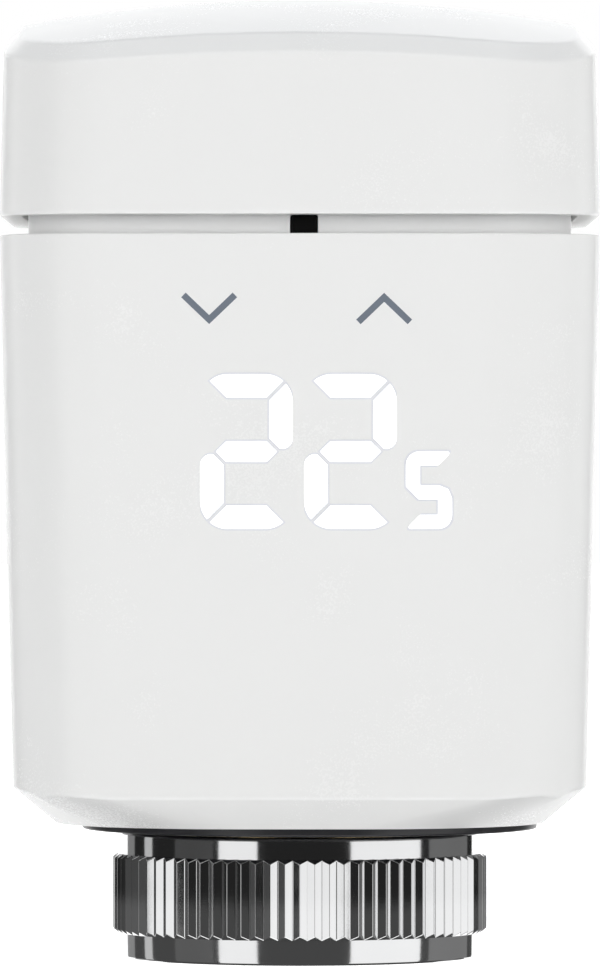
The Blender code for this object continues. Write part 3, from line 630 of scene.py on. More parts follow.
def make_housing(sizes):
    """White housing with tapered sides, chamfered foot and open top."""
    top_half, top_z, foot_z = BODY_HIGH.x, BODY_HIGH.z, BODY_LOW.z
    wall, corner, edge = sizes.wall, sizes.corner, sizes.edge
    rows = [
        (sizes.foot_half, sizes.foot_corner, foot_z),
        (sizes.knee_half, corner, sizes.knee_front_z),
        (top_half, corner, top_z),
        (top_half - wall, corner - wall, top_z),
        (sizes.knee_half - wall, corner - wall, sizes.floor_top_z + 3.5 * MM),
        (sizes.foot_half, 12.0 * MM, sizes.floor_top_z),
    ]
    rows = eased(rows, {0: edge * 0.7, 1: edge, 2: edge * 0.6, 3: edge * 0.6})
    loops = [square_loop(half, bend, z) for half, bend, z in rows]
    centre_x = (SEAL_LOW.x + SEAL_HIGH.x) / 2
    recess = (SEAL_HIGH.x - SEAL_LOW.x) / 2 + 0.3 * MM
    hole = sizes.hole_radius
    under = [
        round_loop(hole, sizes.floor_top_z, LOOP_POINTS),
        round_loop(hole, sizes.floor_under_z, LOOP_POINTS),
        round_loop(recess, sizes.floor_under_z, LOOP_POINTS, centre_x),
        round_loop(recess, foot_z, LOOP_POINTS, centre_x),
    ]
    piece = skin("housing", under + loops, closed=True)
    knee_zone = (sizes.knee_front_z - 0.6 * MM, sizes.knee_front_z + 0.6 * MM)
    for vertex in piece.data.vertices:
        if knee_zone[0] < vertex.co.z < knee_zone[1] and abs(vertex.co.x) + abs(vertex.co.y) > recess:
            if max(abs(vertex.co.x), abs(vertex.co.y)) > sizes.foot_half + 1.0 * MM:
                vertex.co.z += knee_rise(vertex.co.x, vertex.co.y, sizes)
    posts = []
    for x in (-18.3 * MM, 18.3 * MM):
        for y in (-12.5 * MM, 16.5 * MM):
            boss = turned("boss", [(3.0 * MM, sizes.floor_top_z - 0.8 * MM), (3.0 * MM, 18.9 * MM)],
                          closed=False, points=32)
            boss.location = (x, y, 0)
            apply_place(boss)
            posts.append(boss)
    piece = join("housing", [piece] + posts)
    return done(piece, white_plastic(), "housing", ["body_shell"])


def dome_z(x, y, sizes):
    """Height of the cap's domed top."""
    fall = sizes.fall_x * x * x + sizes.fall_y * y * y - sizes.twist * x * x * y * y
    return CAP_HIGH.z - fall


def make_cap(sizes, wall):
    """White lift-off cap with a bevelled, domed top."""
    corner = 9.2 * MM
    low_half, lip_z = CAP_HIGH.x, CAP_LOW.z
    rim_half = sizes.top_half - sizes.bevel_in
    rim_corner = corner - sizes.bevel_in
    lip = eased([(low_half - wall, corner - wall, lip_z + 5.0 * MM), (low_half - wall, corner - wall, lip_z),
                 (low_half, corner, lip_z), (low_half, corner, lip_z + 5.0 * MM)],
                {1: 0.15 * MM, 2: sizes.lip_edge})[1:-1]
    guide = 12.0 * MM
    upper = eased([(low_half, corner, guide), (sizes.top_half, corner, sizes.bevel_high),
                   (rim_half, rim_corner, 0.0), (rim_half - 6 * MM, rim_corner - 2 * MM, 0.0)],
                  {1: 0.3 * MM, 2: 0.3 * MM})[1:-1]
    inner_half = sizes.top_half - wall
    ceiling = eased([(inner_half, corner - wall, guide), (inner_half, corner - wall, wall + 0.5 * MM),
                     (inner_half - 3 * MM, corner - wall, wall)], {1: 0.5 * MM})[1:-1]
    shares = (0.94, 0.86, 0.76, 0.64, 0.5, 0.36, 0.22, 0.1)
    top = [(rim_half * share, rim_corner * share, 0.0) for share in shares]
    under_top = [((inner_half - 3 * MM) * share, (corner - wall) * share, wall) for share in shares]

    inside = [(half, bend, drop) for half, bend, drop in reversed(ceiling + under_top)]
    rows = [("dome", *row) for row in inside] + [("flat", *row) for row in lip]
    rows += [("dome", *row) for row in upper + top]
    loops = []
    for kind, half, bend, value in rows:
        loop = square_loop(half, bend, 0.0)
        reach = min(1.0, rim_half / half)
        for vertex in loop.data.vertices:
            x, y = vertex.co.x * reach, vertex.co.y * reach
            vertex.co.z = value if kind == "flat" else dome_z(x, y, sizes) - value
        loops.append(loop)
    piece = skin("cap", loops, fill=True)
    return done(piece, white_plastic(), "cap", ["cap_shell"])


def make_inner_frame(sizes):
    """Frame that holds the two cells, with the neck that shows under the cap."""
    box_centre, box_half, box_deep = (0.0, 1.5 * MM), 19.5 * MM, 14.0 * MM
    low_z, top_z, shoulder = NECK_LOW.z, NECK_HIGH.z, sizes.shoulder_z
    inner = sizes.half - sizes.wall
    box_wall = 1.4 * MM
    rows = [
        (box_half - box_wall, box_deep - box_wall, 3.6 * MM, box_centre, low_z + 1.0 * MM),
        (box_half - box_wall, box_deep - box_wall, 3.6 * MM, box_centre, shoulder + 1.0 * MM),
        (inner, inner, sizes.corner - sizes.wall, (0, 0), shoulder + 3.5 * MM),
        (inner, inner, sizes.corner - sizes.wall, (0, 0), top_z - 0.15 * MM),
        (inner + 0.15 * MM, inner + 0.15 * MM, sizes.corner - sizes.wall, (0, 0), top_z),
        (sizes.half - 0.5 * MM, sizes.half - 0.5 * MM, sizes.corner, (0, 0), top_z),
        (sizes.half - 0.15 * MM, sizes.half - 0.15 * MM, sizes.corner, (0, 0), top_z - 0.25 * MM),
        (sizes.half, sizes.half, sizes.corner, (0, 0), top_z - 0.8 * MM),
        (sizes.half, sizes.half, sizes.corner, (0, 0), shoulder + 2.5 * MM),
        (box_half, box_deep, 5.0 * MM, box_centre, shoulder),
        (box_half, box_deep, 5.0 * MM, box_centre, low_z),
    ]
    loops = [square_loop(half, bend, z, centre, deep) for half, deep, bend, centre, z in rows]
    piece = skin("inner_frame", loops, fill=True)
    fit = 0.05 * MM
    slot_low = WINDOW_LOW - Vector((fit, 1.0 * MM, fit))
    slot_high = WINDOW_HIGH + Vector((fit, 1.0 * MM, fit))
    cutter = bevelled_box("slot_cutter", slot_low, slot_high, 0.2 * MM)
    apply_modifier(piece, "BOOLEAN", object=cutter, operation="DIFFERENCE")
    bpy.data.objects.remove(cutter)
    divider = bevelled_box("divider", (-0.7 * MM, -11.2 * MM, low_z + 0.8 * MM),
                           (0.7 * MM, 14.2 * MM, shoulder - 1.0 * MM), 0.2 * MM)
    piece = join("inner_frame", [piece, divider])
    return done(piece, light_plastic(), "housing", ["battery_frame"], weighted=False)


def make_window():
    """Black window in the neck."""
    pane = bevelled_box("window", WINDOW_LOW, WINDOW_HIGH, 0.2 * MM)
    return done(pane, window_black(), "housing", ["sensor_window"])


def make_base_plate(sizes):
    """Dark round plate under the housing."""
    centre_x = (SEAL_LOW.x + SEAL_HIGH.x) / 2
    radius = (SEAL_HIGH.x - SEAL_LOW.x) / 2
    low, high, hole = SEAL_LOW.z, SEAL_HIGH.z, sizes.hole_radius
    groove_out, groove_in, groove_top = radius - 1.1 * MM, radius - 1.6 * MM, low + 0.15 * MM
    rows = eased([(radius, high), (radius, low), (groove_out, low), (groove_out, groove_top),
                  (groove_in, groove_top), (groove_in, low), (hole + 1.0 * MM, low)], {1: 0.25 * MM})
    outer = [round_loop(across, z, ROUND_STEPS, centre_x) for across, z in rows]
    inner = [round_loop(hole, low + 0.2 * MM), round_loop(hole, high)]
    piece = skin("base_plate", outer + inner, closed=True)
    return done(piece, black_plastic(), "housing", ["seal_plate"])


def knurled_loop(sizes, root_z, crest_z):
    """A zigzag loop where the knurl's ridges meet the cone that trims their ends."""
    loop = round_loop(sizes.root_radius, root_z, 2 * sizes.ridges)
    edit(loop)
    share = NUT_HIGH.x / sizes.root_radius
    pick("VERT", lambda v: v.index % 2 == 0)
    bpy.ops.transform.resize(value=(share, share, 1.0), center_override=(0, 0, root_z))
    bpy.ops.transform.translate(value=(0, 0, crest_z - root_z))
    bpy.ops.object.mode_set(mode="OBJECT")
    return loop


def on_ridge(edge, crest, low_z, high_z):
    """A ridge's crest, or the zigzag edge at either of its ends."""
    across = sorted(vertex.co.xy.length for vertex in edge.verts)
    heights = sorted(vertex.co.z for vertex in edge.verts)
    at_end = low_z < heights[0] and heights[1] < high_z
    return across[1] > crest and (across[0] > crest or at_end)


def tall_inside(edge, radius):
    """An upright edge within a radius: between two ridges, or on the bore's wall."""
    first, second = edge.verts
    within = max(first.co.xy.length, second.co.xy.length) < radius
    return within and abs(first.co.z - second.co.z) > 5 * MM


def make_nut(sizes):
    """Plated union nut with a knurl between two smooth bands and a threaded bore."""
    points = 2 * sizes.ridges
    top, plain, bore = NUT_HIGH.z, sizes.plain_radius, sizes.bore_radius
    lip_z = 8.9 * MM
    knurl_low, knurl_high = 2.3 * MM, 9.55 * MM
    end_step, end_slope = 0.05 * MM, 0.33 * MM
    low_band = [(bore, lip_z), (bore, 0.4 * MM), (bore + 0.4 * MM, 0.0), (plain, 0.0), (plain, knurl_low)]
    low_band = eased(low_band, {3: 0.35 * MM})
    high_band = eased([(plain, knurl_high), (plain, top), (sizes.lip_radius, top), (sizes.lip_radius, lip_z)],
                      {1: 0.35 * MM, 2: 0.2 * MM})
    loops = [round_loop(radius, z, points) for radius, z in low_band]
    first_root, last_root = knurl_low + end_step, knurl_high - end_step
    loops.append(round_loop(sizes.root_radius, knurl_low, points))
    loops.append(knurled_loop(sizes, first_root, first_root + end_slope))
    loops.append(knurled_loop(sizes, last_root, last_root - end_slope))
    loops.append(round_loop(sizes.root_radius, knurl_high, points))
    loops += [round_loop(radius, z, points) for radius, z in high_band]
    piece = skin("union_nut_plated", loops, closed=True)
    edit(piece)
    crest = NUT_HIGH.x - 0.02 * MM
    ends = (knurl_low + 0.02 * MM, knurl_high - 0.02 * MM)
    pick("EDGE", lambda e: on_ridge(e, crest, *ends))
    bpy.ops.mesh.bevel(offset=0.06 * MM, segments=3, affect="EDGES")
    pick("EDGE", lambda e: tall_inside(e, sizes.root_radius + 0.01 * MM))
    bpy.ops.mesh.bevel(offset=0.1 * MM, segments=2, affect="EDGES")
    bpy.ops.object.mode_set(mode="OBJECT")
    return done(piece, chrome(), "nut", ["union_nut"], smooth_angle=20, weighted=False)


def make_thread(sizes):
    """Internal thread: a ridge wound up the nut's bore."""
    root, crest = sizes.bore_radius + 0.05 * MM, sizes.thread_radius
    deselect()
    bpy.ops.mesh.primitive_plane_add(size=1.0, location=((root + crest) / 2, 0, 1.5 * MM),
                                     rotation=(math.pi / 2, 0, 0))
    piece = bpy.context.object
    piece.name = "nut_thread"
    piece.scale = (root - crest, 1.3 * MM, 1.0)
    apply_place(piece)
    edit(piece)
    pick("VERT", lambda v: v.co.x < (root + crest) / 2)
    bpy.ops.transform.resize(value=(1.0, 1.0, 0.15), center_override=(crest, 0, 1.5 * MM))
    bpy.ops.mesh.select_all(action="SELECT")
    bpy.ops.mesh.delete(type="ONLY_FACE")
    bpy.ops.object.mode_set(mode="OBJECT")
    apply_modifier(piece, "SCREW", axis="Z", screw_offset=sizes.pitch, iterations=THREAD_TURNS,
                   steps=ROUND_STEPS, render_steps=ROUND_STEPS, angle=2 * math.pi)
    edit(piece)
    bpy.ops.mesh.select_all(action="SELECT")
    bpy.ops.mesh.remove_doubles(threshold=WELD)
    pick("EDGE", lambda e: e.is_boundary)
    bpy.ops.mesh.edge_face_add()
    outward(piece)
    return done(piece, chrome(), "nut", weighted=False)


def make_collar():
    """Brass collar that seats on the valve and carries the nut."""
    seat, top, flange = COLLAR_LOW.z, COLLAR_HIGH.z, COLLAR_HIGH.x
    barrel, bore, groove = 12.0 * MM, 9.5 * MM, 11.4 * MM
    rows = [(bore, top), (bore, seat), (barrel, seat), (barrel, seat + 1.0 * MM), (groove, seat + 1.0 * MM),
            (groove, seat + 3.0 * MM), (barrel, seat + 3.0 * MM), (barrel, top - 2.05 * MM),
            (flange, top - 2.05 * MM), (flange, top)]
    piece = turned("collar", rows, rounding={1: 0.25 * MM, 2: 0.3 * MM, 8: 0.2 * MM})
    return done(piece, brass(), "housing", ["valve_collar"])


def make_plunger_tip():
    """Rounded steel tip that presses the valve's pin."""
    low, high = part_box("plunger_tip")
    radius = (high.x - low.x) / 2
    rows = [(0.4 * MM, low.z), (radius, low.z), (radius, high.z), (0.4 * MM, high.z)]
    piece = turned("pressing_tip", rows, closed=False, rounding={1: 0.35 * MM, 2: 0.1 * MM})
    return done(piece, steel(), "plunger", ["plunger_tip"])


def make_cell(node, nub_up, sizes):
    """One cell: foil jacket, bright ends and a nub at one end."""
    low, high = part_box(node)
    radius, nub, nub_high = sizes.cell_radius, 2.75 * MM, 1.0 * MM
    base, shoulder = low.z, high.z - nub_high
    rows = [(0.4 * MM, base), (5.6 * MM, base), (5.6 * MM, base + 0.2 * MM), (6.4 * MM, base + 0.2 * MM),
            (6.4 * MM, base), (radius, base), (radius, shoulder), (6.3 * MM, shoulder),
            (6.3 * MM, shoulder - 0.35 * MM), (nub, shoulder - 0.35 * MM), (nub, high.z), (0.4 * MM, high.z)]
    piece = turned(node.replace("battery", "cell"), rows, closed=False, points=72,
                   rounding={5: 0.5 * MM, 6: 0.5 * MM, 10: 0.35 * MM})
    if not nub_up:
        edit(piece)
        bpy.ops.mesh.select_all(action="SELECT")
        middle = (low.z + high.z) / 2
        bpy.ops.transform.resize(value=(1.0, 1.0, -1.0), center_override=(0, 0, middle))
        outward(piece)
    piece.location = ((low.x + high.x) / 2, (low.y + high.y) / 2, 0)
    apply_place(piece)
    done(piece, battery_jacket(), "housing", [node])
    piece.data.materials.append(steel())
    centre = Vector(((low.x + high.x) / 2, (low.y + high.y) / 2))
    edit(piece)
    pick("FACE", lambda f: (f.calc_center_median().xy - centre).length < 6.35 * MM)
    piece.active_material_index = 1
    bpy.ops.object.material_slot_assign()
    bpy.ops.object.mode_set(mode="OBJECT")
    return piece


def front_y(z, sizes):
    """The front face's place at a height: it leans out towards the top."""
    share = (z - sizes.knee_front_z) / (BODY_HIGH.z - sizes.knee_front_z)
    return -(sizes.knee_half + (BODY_HIGH.x - sizes.knee_half) * share)


def flat_panel(low, high):
    """An upright panel from its lower left to its upper right corner."""
    (x0, z0), (x1, z1) = low, high
    deselect()
    bpy.ops.mesh.primitive_plane_add(size=1.0, location=((x0 + x1) / 2, 0, (z0 + z1) / 2),
                                     rotation=(math.pi / 2, 0, 0))
    panel = bpy.context.object
    panel.scale = (x1 - x0, z1 - z0, 1.0)
    apply_place(panel)
    return panel


def trim(panel, point, direction):
    """Cuts off what lies beyond a line through point, on the side that direction points to."""
    edit(panel)
    bpy.ops.mesh.select_all(action="SELECT")
    bpy.ops.mesh.bisect(plane_co=(point[0], 0, point[1]), plane_no=(direction[0], 0, direction[1]),
                        clear_outer=True, use_fill=False, threshold=FINE_CUT)
    bpy.ops.object.mode_set(mode="OBJECT")


def trim_round(panel, centre, radius, start, end, steps=7):
    """Rounds a panel's corner with short straight cuts along an arc."""
    for step in range(steps + 1):
        angle = math.radians(start + (end - start) * step / steps)
        way = (math.cos(angle), math.sin(angle))
        trim(panel, (centre[0] + radius * way[0], centre[1] + radius * way[1]), way)


def segment(place, low, high, sizes, grow):
    """One segment of a seven-segment digit that fills the box from low to high."""
    (x0, z0), (x1, z1) = low, high
    stroke, gap, bend = sizes.stroke, sizes.gap, sizes.corner
    middle = (z0 + z1) / 2
    step_back = gap / 2 / SLANT - grow / SLANT
    if place in ("top", "bottom"):
        sign = 1 if place == "top" else -1
        edge_z = z1 if sign > 0 else z0
        inner_z = edge_z - sign * stroke
        lo, hi = min(edge_z, inner_z) - grow, max(edge_z, inner_z) + grow
        panel = flat_panel((x0, lo), (x1, hi))
        trim(panel, (x0 + step_back, edge_z), (-SLANT, -sign * SLANT))
        trim(panel, (x1 - step_back, edge_z), (SLANT, -sign * SLANT))
        for centre_x, start in ((x0 + bend, 135), (x1 - bend, 45)):
            trim_round(panel, (centre_x, edge_z - sign * bend), bend + grow, sign * start, sign * 90)
        return panel
    if place == "middle":
        thick = stroke * 0.88
        panel = flat_panel((x0, middle - thick / 2 - grow), (x1, middle + thick / 2 + grow))
        tip = TIP_REACH - grow / SLANT
        for side_x, way in ((x0 + tip, -1), (x1 - tip, 1)):
            for rise in (-1, 1):
                trim(panel, (side_x, middle), (way * SLANT, rise * SLANT))
        return panel
    upper = place.startswith("upper")
    right = place.endswith("right")
    side = 1 if right else -1
    edge_x = x1 if right else x0
    inner_x = edge_x - side * stroke
    far_z = z1 if upper else z0
    rise = 1 if upper else -1
    near_z = middle + rise * (gap * 0.7 - grow)
    lo_x, hi_x = min(edge_x, inner_x) - grow, max(edge_x, inner_x) + grow
    panel = flat_panel((lo_x, min(near_z, far_z)), (hi_x, max(near_z, far_z)))
    trim(panel, (edge_x, far_z - rise * step_back), (-side * SLANT, rise * SLANT))
    tip_x = edge_x - side * (TIP_REACH - gap / SLANT + grow / SLANT)
    trim(panel, (tip_x, middle), (-side * SLANT, -rise * SLANT))
    start, end = (0, 45) if right else (180, 135)
    trim_round(panel, (edge_x - side * bend, far_z - rise * bend), bend + grow, rise * start, rise * end)
    round_off = 0.95 * MM
    near_start = (0, -90) if right else (180, 270)
    trim_round(panel, (edge_x - side * round_off, near_z + rise * round_off), round_off,
               rise * near_start[0], rise * near_start[1], 4)
    return panel


def lay_on_front(piece, lift, thickness, housing):
    """Lays a flat piece on the leaning front face and gives it its thickness."""
    for vertex in piece.data.vertices:
        vertex.co.y = front_y(vertex.co.z, housing) - lift
    face_front(piece)
    apply_modifier(piece, "SOLIDIFY", thickness=thickness, offset=-1.0)


def face_front(piece):
    """Turns every face of an upright sheet to the front, each one by itself."""
    edit(piece)
    pick("FACE", lambda f: f.normal.y > 0)
    bpy.ops.mesh.flip_normals()
    bpy.ops.object.mode_set(mode="OBJECT")


def large_digit(name, left_x, low_z, sizes, grow):
    """A large 2 as five separate segments."""
    low, high = (left_x, low_z), (left_x + sizes.digit_width, low_z + sizes.digit_height)
    return join(name, [segment(place, low, high, sizes, grow) for place in LIT_FOR_TWO])


def small_digit(name, left_x, low_z, grow):
    """The small 5, in one piece: a panel of cells with the dark ones taken out."""
    width, height, stroke = 4.10 * MM, 6.89 * MM, 1.24 * MM
    x_lines = [left_x - grow, left_x + stroke + grow, left_x + width - stroke - grow, left_x + width + grow]
    middle = low_z + height * 0.50
    z_lines = [low_z - grow, low_z + stroke + grow, middle - stroke / 2 - 0.2 * MM - grow,
               middle + stroke / 2 - 0.2 * MM + grow, low_z + height - stroke - grow, low_z + height + grow]
    cells = []
    dark = {(0, 1), (1, 1), (1, 3), (2, 3)}
    for column in range(3):
        for row in range(5):
            if (column, row) not in dark:
                low, high = (x_lines[column], z_lines[row]), (x_lines[column + 1], z_lines[row + 1])
                cells.append(flat_panel(low, high))
    tips = ((2, 4, SLANT, -SLANT), (0, 0, -SLANT, SLANT))
    for column, row, way_x, way_z in tips:
        spots = [(c, r) for c in range(3) for r in range(5) if (c, r) not in dark]
        cell = cells[spots.index((column, row))]
        inner_x = x_lines[2] if column == 2 else x_lines[1]
        inner_z = z_lines[4] if row == 4 else z_lines[1]
        trim(cell, (inner_x, inner_z), (way_x, way_z))
    piece = join(name, cells)
    edit(piece)
    bpy.ops.mesh.select_all(action="SELECT")
    bpy.ops.mesh.remove_doubles(threshold=WELD)
    corners = [((x_lines[0], z_lines[5]), 1.22 * MM, 6), ((x_lines[3], z_lines[0]), 1.22 * MM, 6),
               ((x_lines[0], z_lines[2]), 1.15 * MM, 1), ((x_lines[3], z_lines[3]), 1.15 * MM, 2),
               ((x_lines[3], z_lines[5]), 0.5 * MM, 4), ((x_lines[0], z_lines[0]), 0.5 * MM, 4)]
    for (x, z), width_off, steps in corners:
        spot = Vector((x, 0, z))
        pick("VERT", lambda v, spot=spot: (v.co - spot).length < 0.12 * MM)
        bpy.ops.mesh.bevel(offset=width_off, segments=steps, affect="VERTICES")
    bpy.ops.object.mode_set(mode="OBJECT")
    return piece


def make_reading(sizes, housing):
    """The lit reading: two large digits and a small one, each over a thin grey rim of painted shade."""
    left_x, low_z = -8.85 * MM, 39.49 * MM
    small_x = 9.44 * MM
    # The rim pieces are painted shade: a slightly larger grey copy of each segment, laid just under it,
    # stands in for the shade of a recessed edge.
    for grow, lift, label, material, slot in ((sizes.rim, 0.012 * MM, "rim", painted_shade_rim(), None),
                                              (0.0, 0.022 * MM, "lit", lit_white(), "diffuser")):
        tens = large_digit(f"digit_tens_{label}", left_x, low_z, sizes, grow)
        units = large_digit(f"digit_units_{label}", left_x + sizes.spacing, low_z, sizes, grow)
        half = small_digit(f"digit_half_{label}", small_x, low_z, grow)
        for piece in (tens, units, half):
            lay_on_front(piece, lift, lift, housing)
            done(piece, material, "housing", weighted=False)


def make_mark(name, x, apex_z, pointing, sizes, housing):
    """A printed chevron of two mitred strokes."""
    reach, rise = sizes.mark_reach, sizes.mark_rise
    slope = math.atan2(rise, reach)
    arm_length = math.hypot(reach, rise) * 2
    halves = []
    for side in (-1, 1):
        arm = flat_panel((-arm_length / 2, -sizes.mark_stroke / 2), (arm_length / 2, sizes.mark_stroke / 2))
        arm.rotation_euler = (0, -pointing * side * slope, 0)
        arm.location = (x, 0, apex_z)
        apply_place(arm)
        trim(arm, (x, apex_z), (-side, 0))
        halves.append(arm)
    piece = join(name, halves)
    edit(piece)
    bpy.ops.mesh.select_all(action="SELECT")
    bpy.ops.mesh.remove_doubles(threshold=WELD)
    bpy.ops.object.mode_set(mode="OBJECT")
    lay_on_front(piece, 0.012 * MM, 0.012 * MM, housing)
    return done(piece, print_grey(), "housing", weighted=False)


def finish_carried_nodes():
    """Gives every CAD node that stays the finish of its slot."""
    for row in frame["record"]["subparts"]:
        node = frame["nodes"][row["node"]]
        node.data.materials.clear()
        node.data.materials.append(FINISHES[row["material_slot"]]())


# ---------------------------------------------------------------- stage


def light_card(name, place, aim, size, strength):
    """A glowing card, shown only in reflections."""
    deselect()
    way = (Vector(aim) - Vector(place)).to_track_quat("Z", "Y").to_euler()
    bpy.ops.mesh.primitive_plane_add(size=1.0, location=place, rotation=way)
    card = bpy.context.object
    card.name = name
    card.scale = (size[0], size[1], 1.0)
    made = bpy.data.materials.new(name)
    made.use_nodes = True
    shader = made.node_tree.nodes["Principled BSDF"]
    shader.inputs["Base Color"].default_value = (0, 0, 0, 1)
    shader.inputs["Emission Color"].default_value = (1, 1, 1, 1)
    shader.inputs["Emission Strength"].default_value = strength
    card.data.materials.append(made)
    card.visible_camera = False
    card.visible_diffuse = False
    card.visible_shadow = False
    return card


def upright_card(name, azimuth, spread, strength, low_z=-0.4, high_z=0.5, distance=0.6):
    """An upright card round the object. Azimuth 0 is towards the camera."""
    angle = math.radians(azimuth)
    width = 2 * distance * math.tan(math.radians(spread / 2))
    middle = (low_z + high_z) / 2
    place = (distance * math.sin(angle), -distance * math.cos(angle), middle)
    return light_card(name, place, (0, 0, middle), (width, high_z - low_z), strength)


def make_floor():
    """A plain pale floor."""
    deselect()
    bpy.ops.mesh.primitive_plane_add(size=6.0, location=(0, 0, 0))
    floor = bpy.context.object
    floor.name = "floor"
    made = bpy.data.materials.new("floor_pale")
    made.use_nodes = True
    shader = made.node_tree.nodes["Principled BSDF"]
    shader.inputs["Base Color"].default_value = (0.9, 0.9, 0.9, 1)
    shader.inputs["Roughness"].default_value = 0.9
    shader.inputs["Emission Color"].default_value = (1, 1, 1, 1)
    nodes = Nodes(made.node_tree)
    path = nodes.add("ShaderNodeLightPath")
    glow = nodes.maths("ADD", nodes.maths("MULTIPLY", path.outputs["Is Camera Ray"], 0.85), 0.17)
    made.node_tree.links.new(glow, shader.inputs["Emission Strength"])
    side = nodes.add("ShaderNodeNewGeometry")
    clear = nodes.add("ShaderNodeBsdfTransparent")
    one_sided = nodes.add("ShaderNodeMixShader", {0: side.outputs["Backfacing"], 1: shader.outputs[0],
                                                  2: clear.outputs[0]})
    made.node_tree.links.new(one_sided.outputs[0], made.node_tree.nodes["Material Output"].inputs["Surface"])
    floor.data.materials.append(made)
    floor.visible_glossy = False


def make_floor_sheen():
    """A faint sheen of the floor, which only the nut's lower band is close enough to mirror."""
    deselect()
    bpy.ops.mesh.primitive_circle_add(vertices=64, radius=0.11, fill_type="NGON", location=(0, 0, -0.0002))
    sheen = bpy.context.object
    sheen.name = "floor_sheen"
    made = bpy.data.materials.new("floor_sheen")
    made.use_nodes = True
    tree = made.node_tree
    nodes = Nodes(tree)
    clear = nodes.add("ShaderNodeBsdfTransparent")
    glow = nodes.add("ShaderNodeEmission", {"Strength": 0.05})
    both = nodes.add("ShaderNodeAddShader", {0: clear.outputs[0], 1: glow.outputs[0]})
    tree.links.new(both.outputs[0], tree.nodes["Material Output"].inputs["Surface"])
    sheen.data.materials.append(made)
    sheen.visible_camera = False
    sheen.visible_diffuse = False
    sheen.visible_shadow = False


def make_world():
    """White to the camera, dark to reflections and grey to diffuse light."""
    world = bpy.data.worlds.new("studio")
    bpy.context.scene.world = world
    world.use_nodes = True
    nodes = Nodes(world.node_tree)
    background = world.node_tree.nodes["Background"]
    path = nodes.add("ShaderNodeLightPath")
    unseen = nodes.mixed(path.outputs["Is Glossy Ray"], (0.05, 0.051, 0.054, 1), (0.018, 0.018, 0.018, 1))
    shown = nodes.mixed(path.outputs["Is Camera Ray"], unseen, (1, 1, 1, 1))
    world.node_tree.links.new(shown, background.inputs["Color"])


def area_light(name, place, aim, size, power, tint=(1, 1, 1)):
    """A soft lamp."""
    deselect()
    way = (Vector(aim) - Vector(place)).to_track_quat("-Z", "Y").to_euler()
    bpy.ops.object.light_add(type="AREA", location=place, rotation=way)
    lamp = bpy.context.object
    lamp.name = name
    lamp.data.shape = "RECTANGLE"
    lamp.data.size, lamp.data.size_y = size
    lamp.data.energy = power
    lamp.data.color = tint
    lamp.visible_glossy = False
    return lamp


def make_camera():
    """A long lens, level, in front."""
    deselect()
    bpy.ops.object.camera_add(location=(0, -0.807, 0.0457), rotation=(math.pi / 2, 0, 0))
    camera = bpy.context.object
    camera.name = "camera"
    camera.data.lens = 326.7
    camera.data.sensor_width = 36.0
    camera.data.shift_x = 0.0002
    camera.data.shift_y = -0.0253
    camera.data.clip_start = 0.01
    bpy.context.scene.camera = camera


def make_stage():
    """Floor, light cards, lamps and camera."""
    scene = bpy.context.scene
    scene.view_settings.view_transform = "Standard"
    scene.view_settings.look = "None"
    make_floor()
    make_world()
    upright_card("card_left", -40, 26, 0.95)
    upright_card("card_right", 58, 51, 0.98)
    upright_card("card_back", 180, 66, 1.3, high_z=0.7)
    upright_card("card_strip_left", -114, 9, 0.5)
    upright_card("card_mid_right", 114, 46, 0.14)
    upright_card("card_mid_left", -140, 14, 0.2, distance=0.55)
    upright_card("card_dim_left", -72, 30, 0.05)
    centre = (0, 0, 0.045)
    light_card("card_high", (0, -0.42, 0.5), centre, (1.0, 0.3), 2.6)
    light_card("card_low", (0, -0.42, -0.4), centre, (0.9, 0.3), 1.3)
    make_floor_sheen()
    area_light("lamp_front", (0.03, -0.9, 0.12), centre, (0.6, 0.7), 6.7)
    area_light("lamp_low", (0.03, -0.5, -0.3), centre, (0.4, 0.4), 2.0)
    for name, side, power in (("lamp_left", -1, 3.9), ("lamp_right", 1, 4.1)):
        area_light(name, (side * 0.65, 0.34, 0.1), centre, (0.3, 0.6), power)
    area_light("lamp_top", (0.0, 0.12, 0.8), centre, (0.6, 0.6), 3.8, (0.93, 0.96, 1.0))
    make_camera()


# ---------------------------------------------------------------- operators


class HEAD_OT_housing(bpy.types.Operator):
    """Build the white housing"""
    bl_idname = "head.housing"
    bl_label = "Housing"

    def execute(self, context):
        make_housing(context.scene.head_housing)
        return {"FINISHED"}


class HEAD_OT_cap(bpy.types.Operator):
    """Build the lift-off cap"""
    bl_idname = "head.cap"
    bl_label = "Cap"

    def execute(self, context):
        make_cap(context.scene.head_cap, context.scene.head_housing.wall)
        return {"FINISHED"}


class HEAD_OT_inner_frame(bpy.types.Operator):
    """Build the inner frame with its window"""
    bl_idname = "head.inner_frame"
    bl_label = "Inner frame and window"

    def execute(self, context):
        make_inner_frame(context.scene.head_frame)
        make_window()
        return {"FINISHED"}


class HEAD_OT_base_plate(bpy.types.Operator):
    """Build the dark plate under the housing"""
    bl_idname = "head.base_plate"
    bl_label = "Base plate"

    def execute(self, context):
        make_base_plate(context.scene.head_housing)
        return {"FINISHED"}


class HEAD_OT_union_nut(bpy.types.Operator):
    """Build the knurled union nut and its thread"""
    bl_idname = "head.union_nut"
    bl_label = "Union nut"

    def execute(self, context):
        make_nut(context.scene.head_nut)
        make_thread(context.scene.head_nut)
        return {"FINISHED"}


class HEAD_OT_valve_side(bpy.types.Operator):
    """Build the collar and the plunger's tip"""
    bl_idname = "head.valve_side"
    bl_label = "Collar and plunger tip"

    def execute(self, context):
        make_collar()
        make_plunger_tip()
        return {"FINISHED"}


class HEAD_OT_cells(bpy.types.Operator):
    """Build the two cells"""
    bl_idname = "head.cells"
    bl_label = "Cells"

    def execute(self, context):
        make_cell("battery_left", True, context.scene.head_frame)
        make_cell("battery_right", False, context.scene.head_frame)
        return {"FINISHED"}


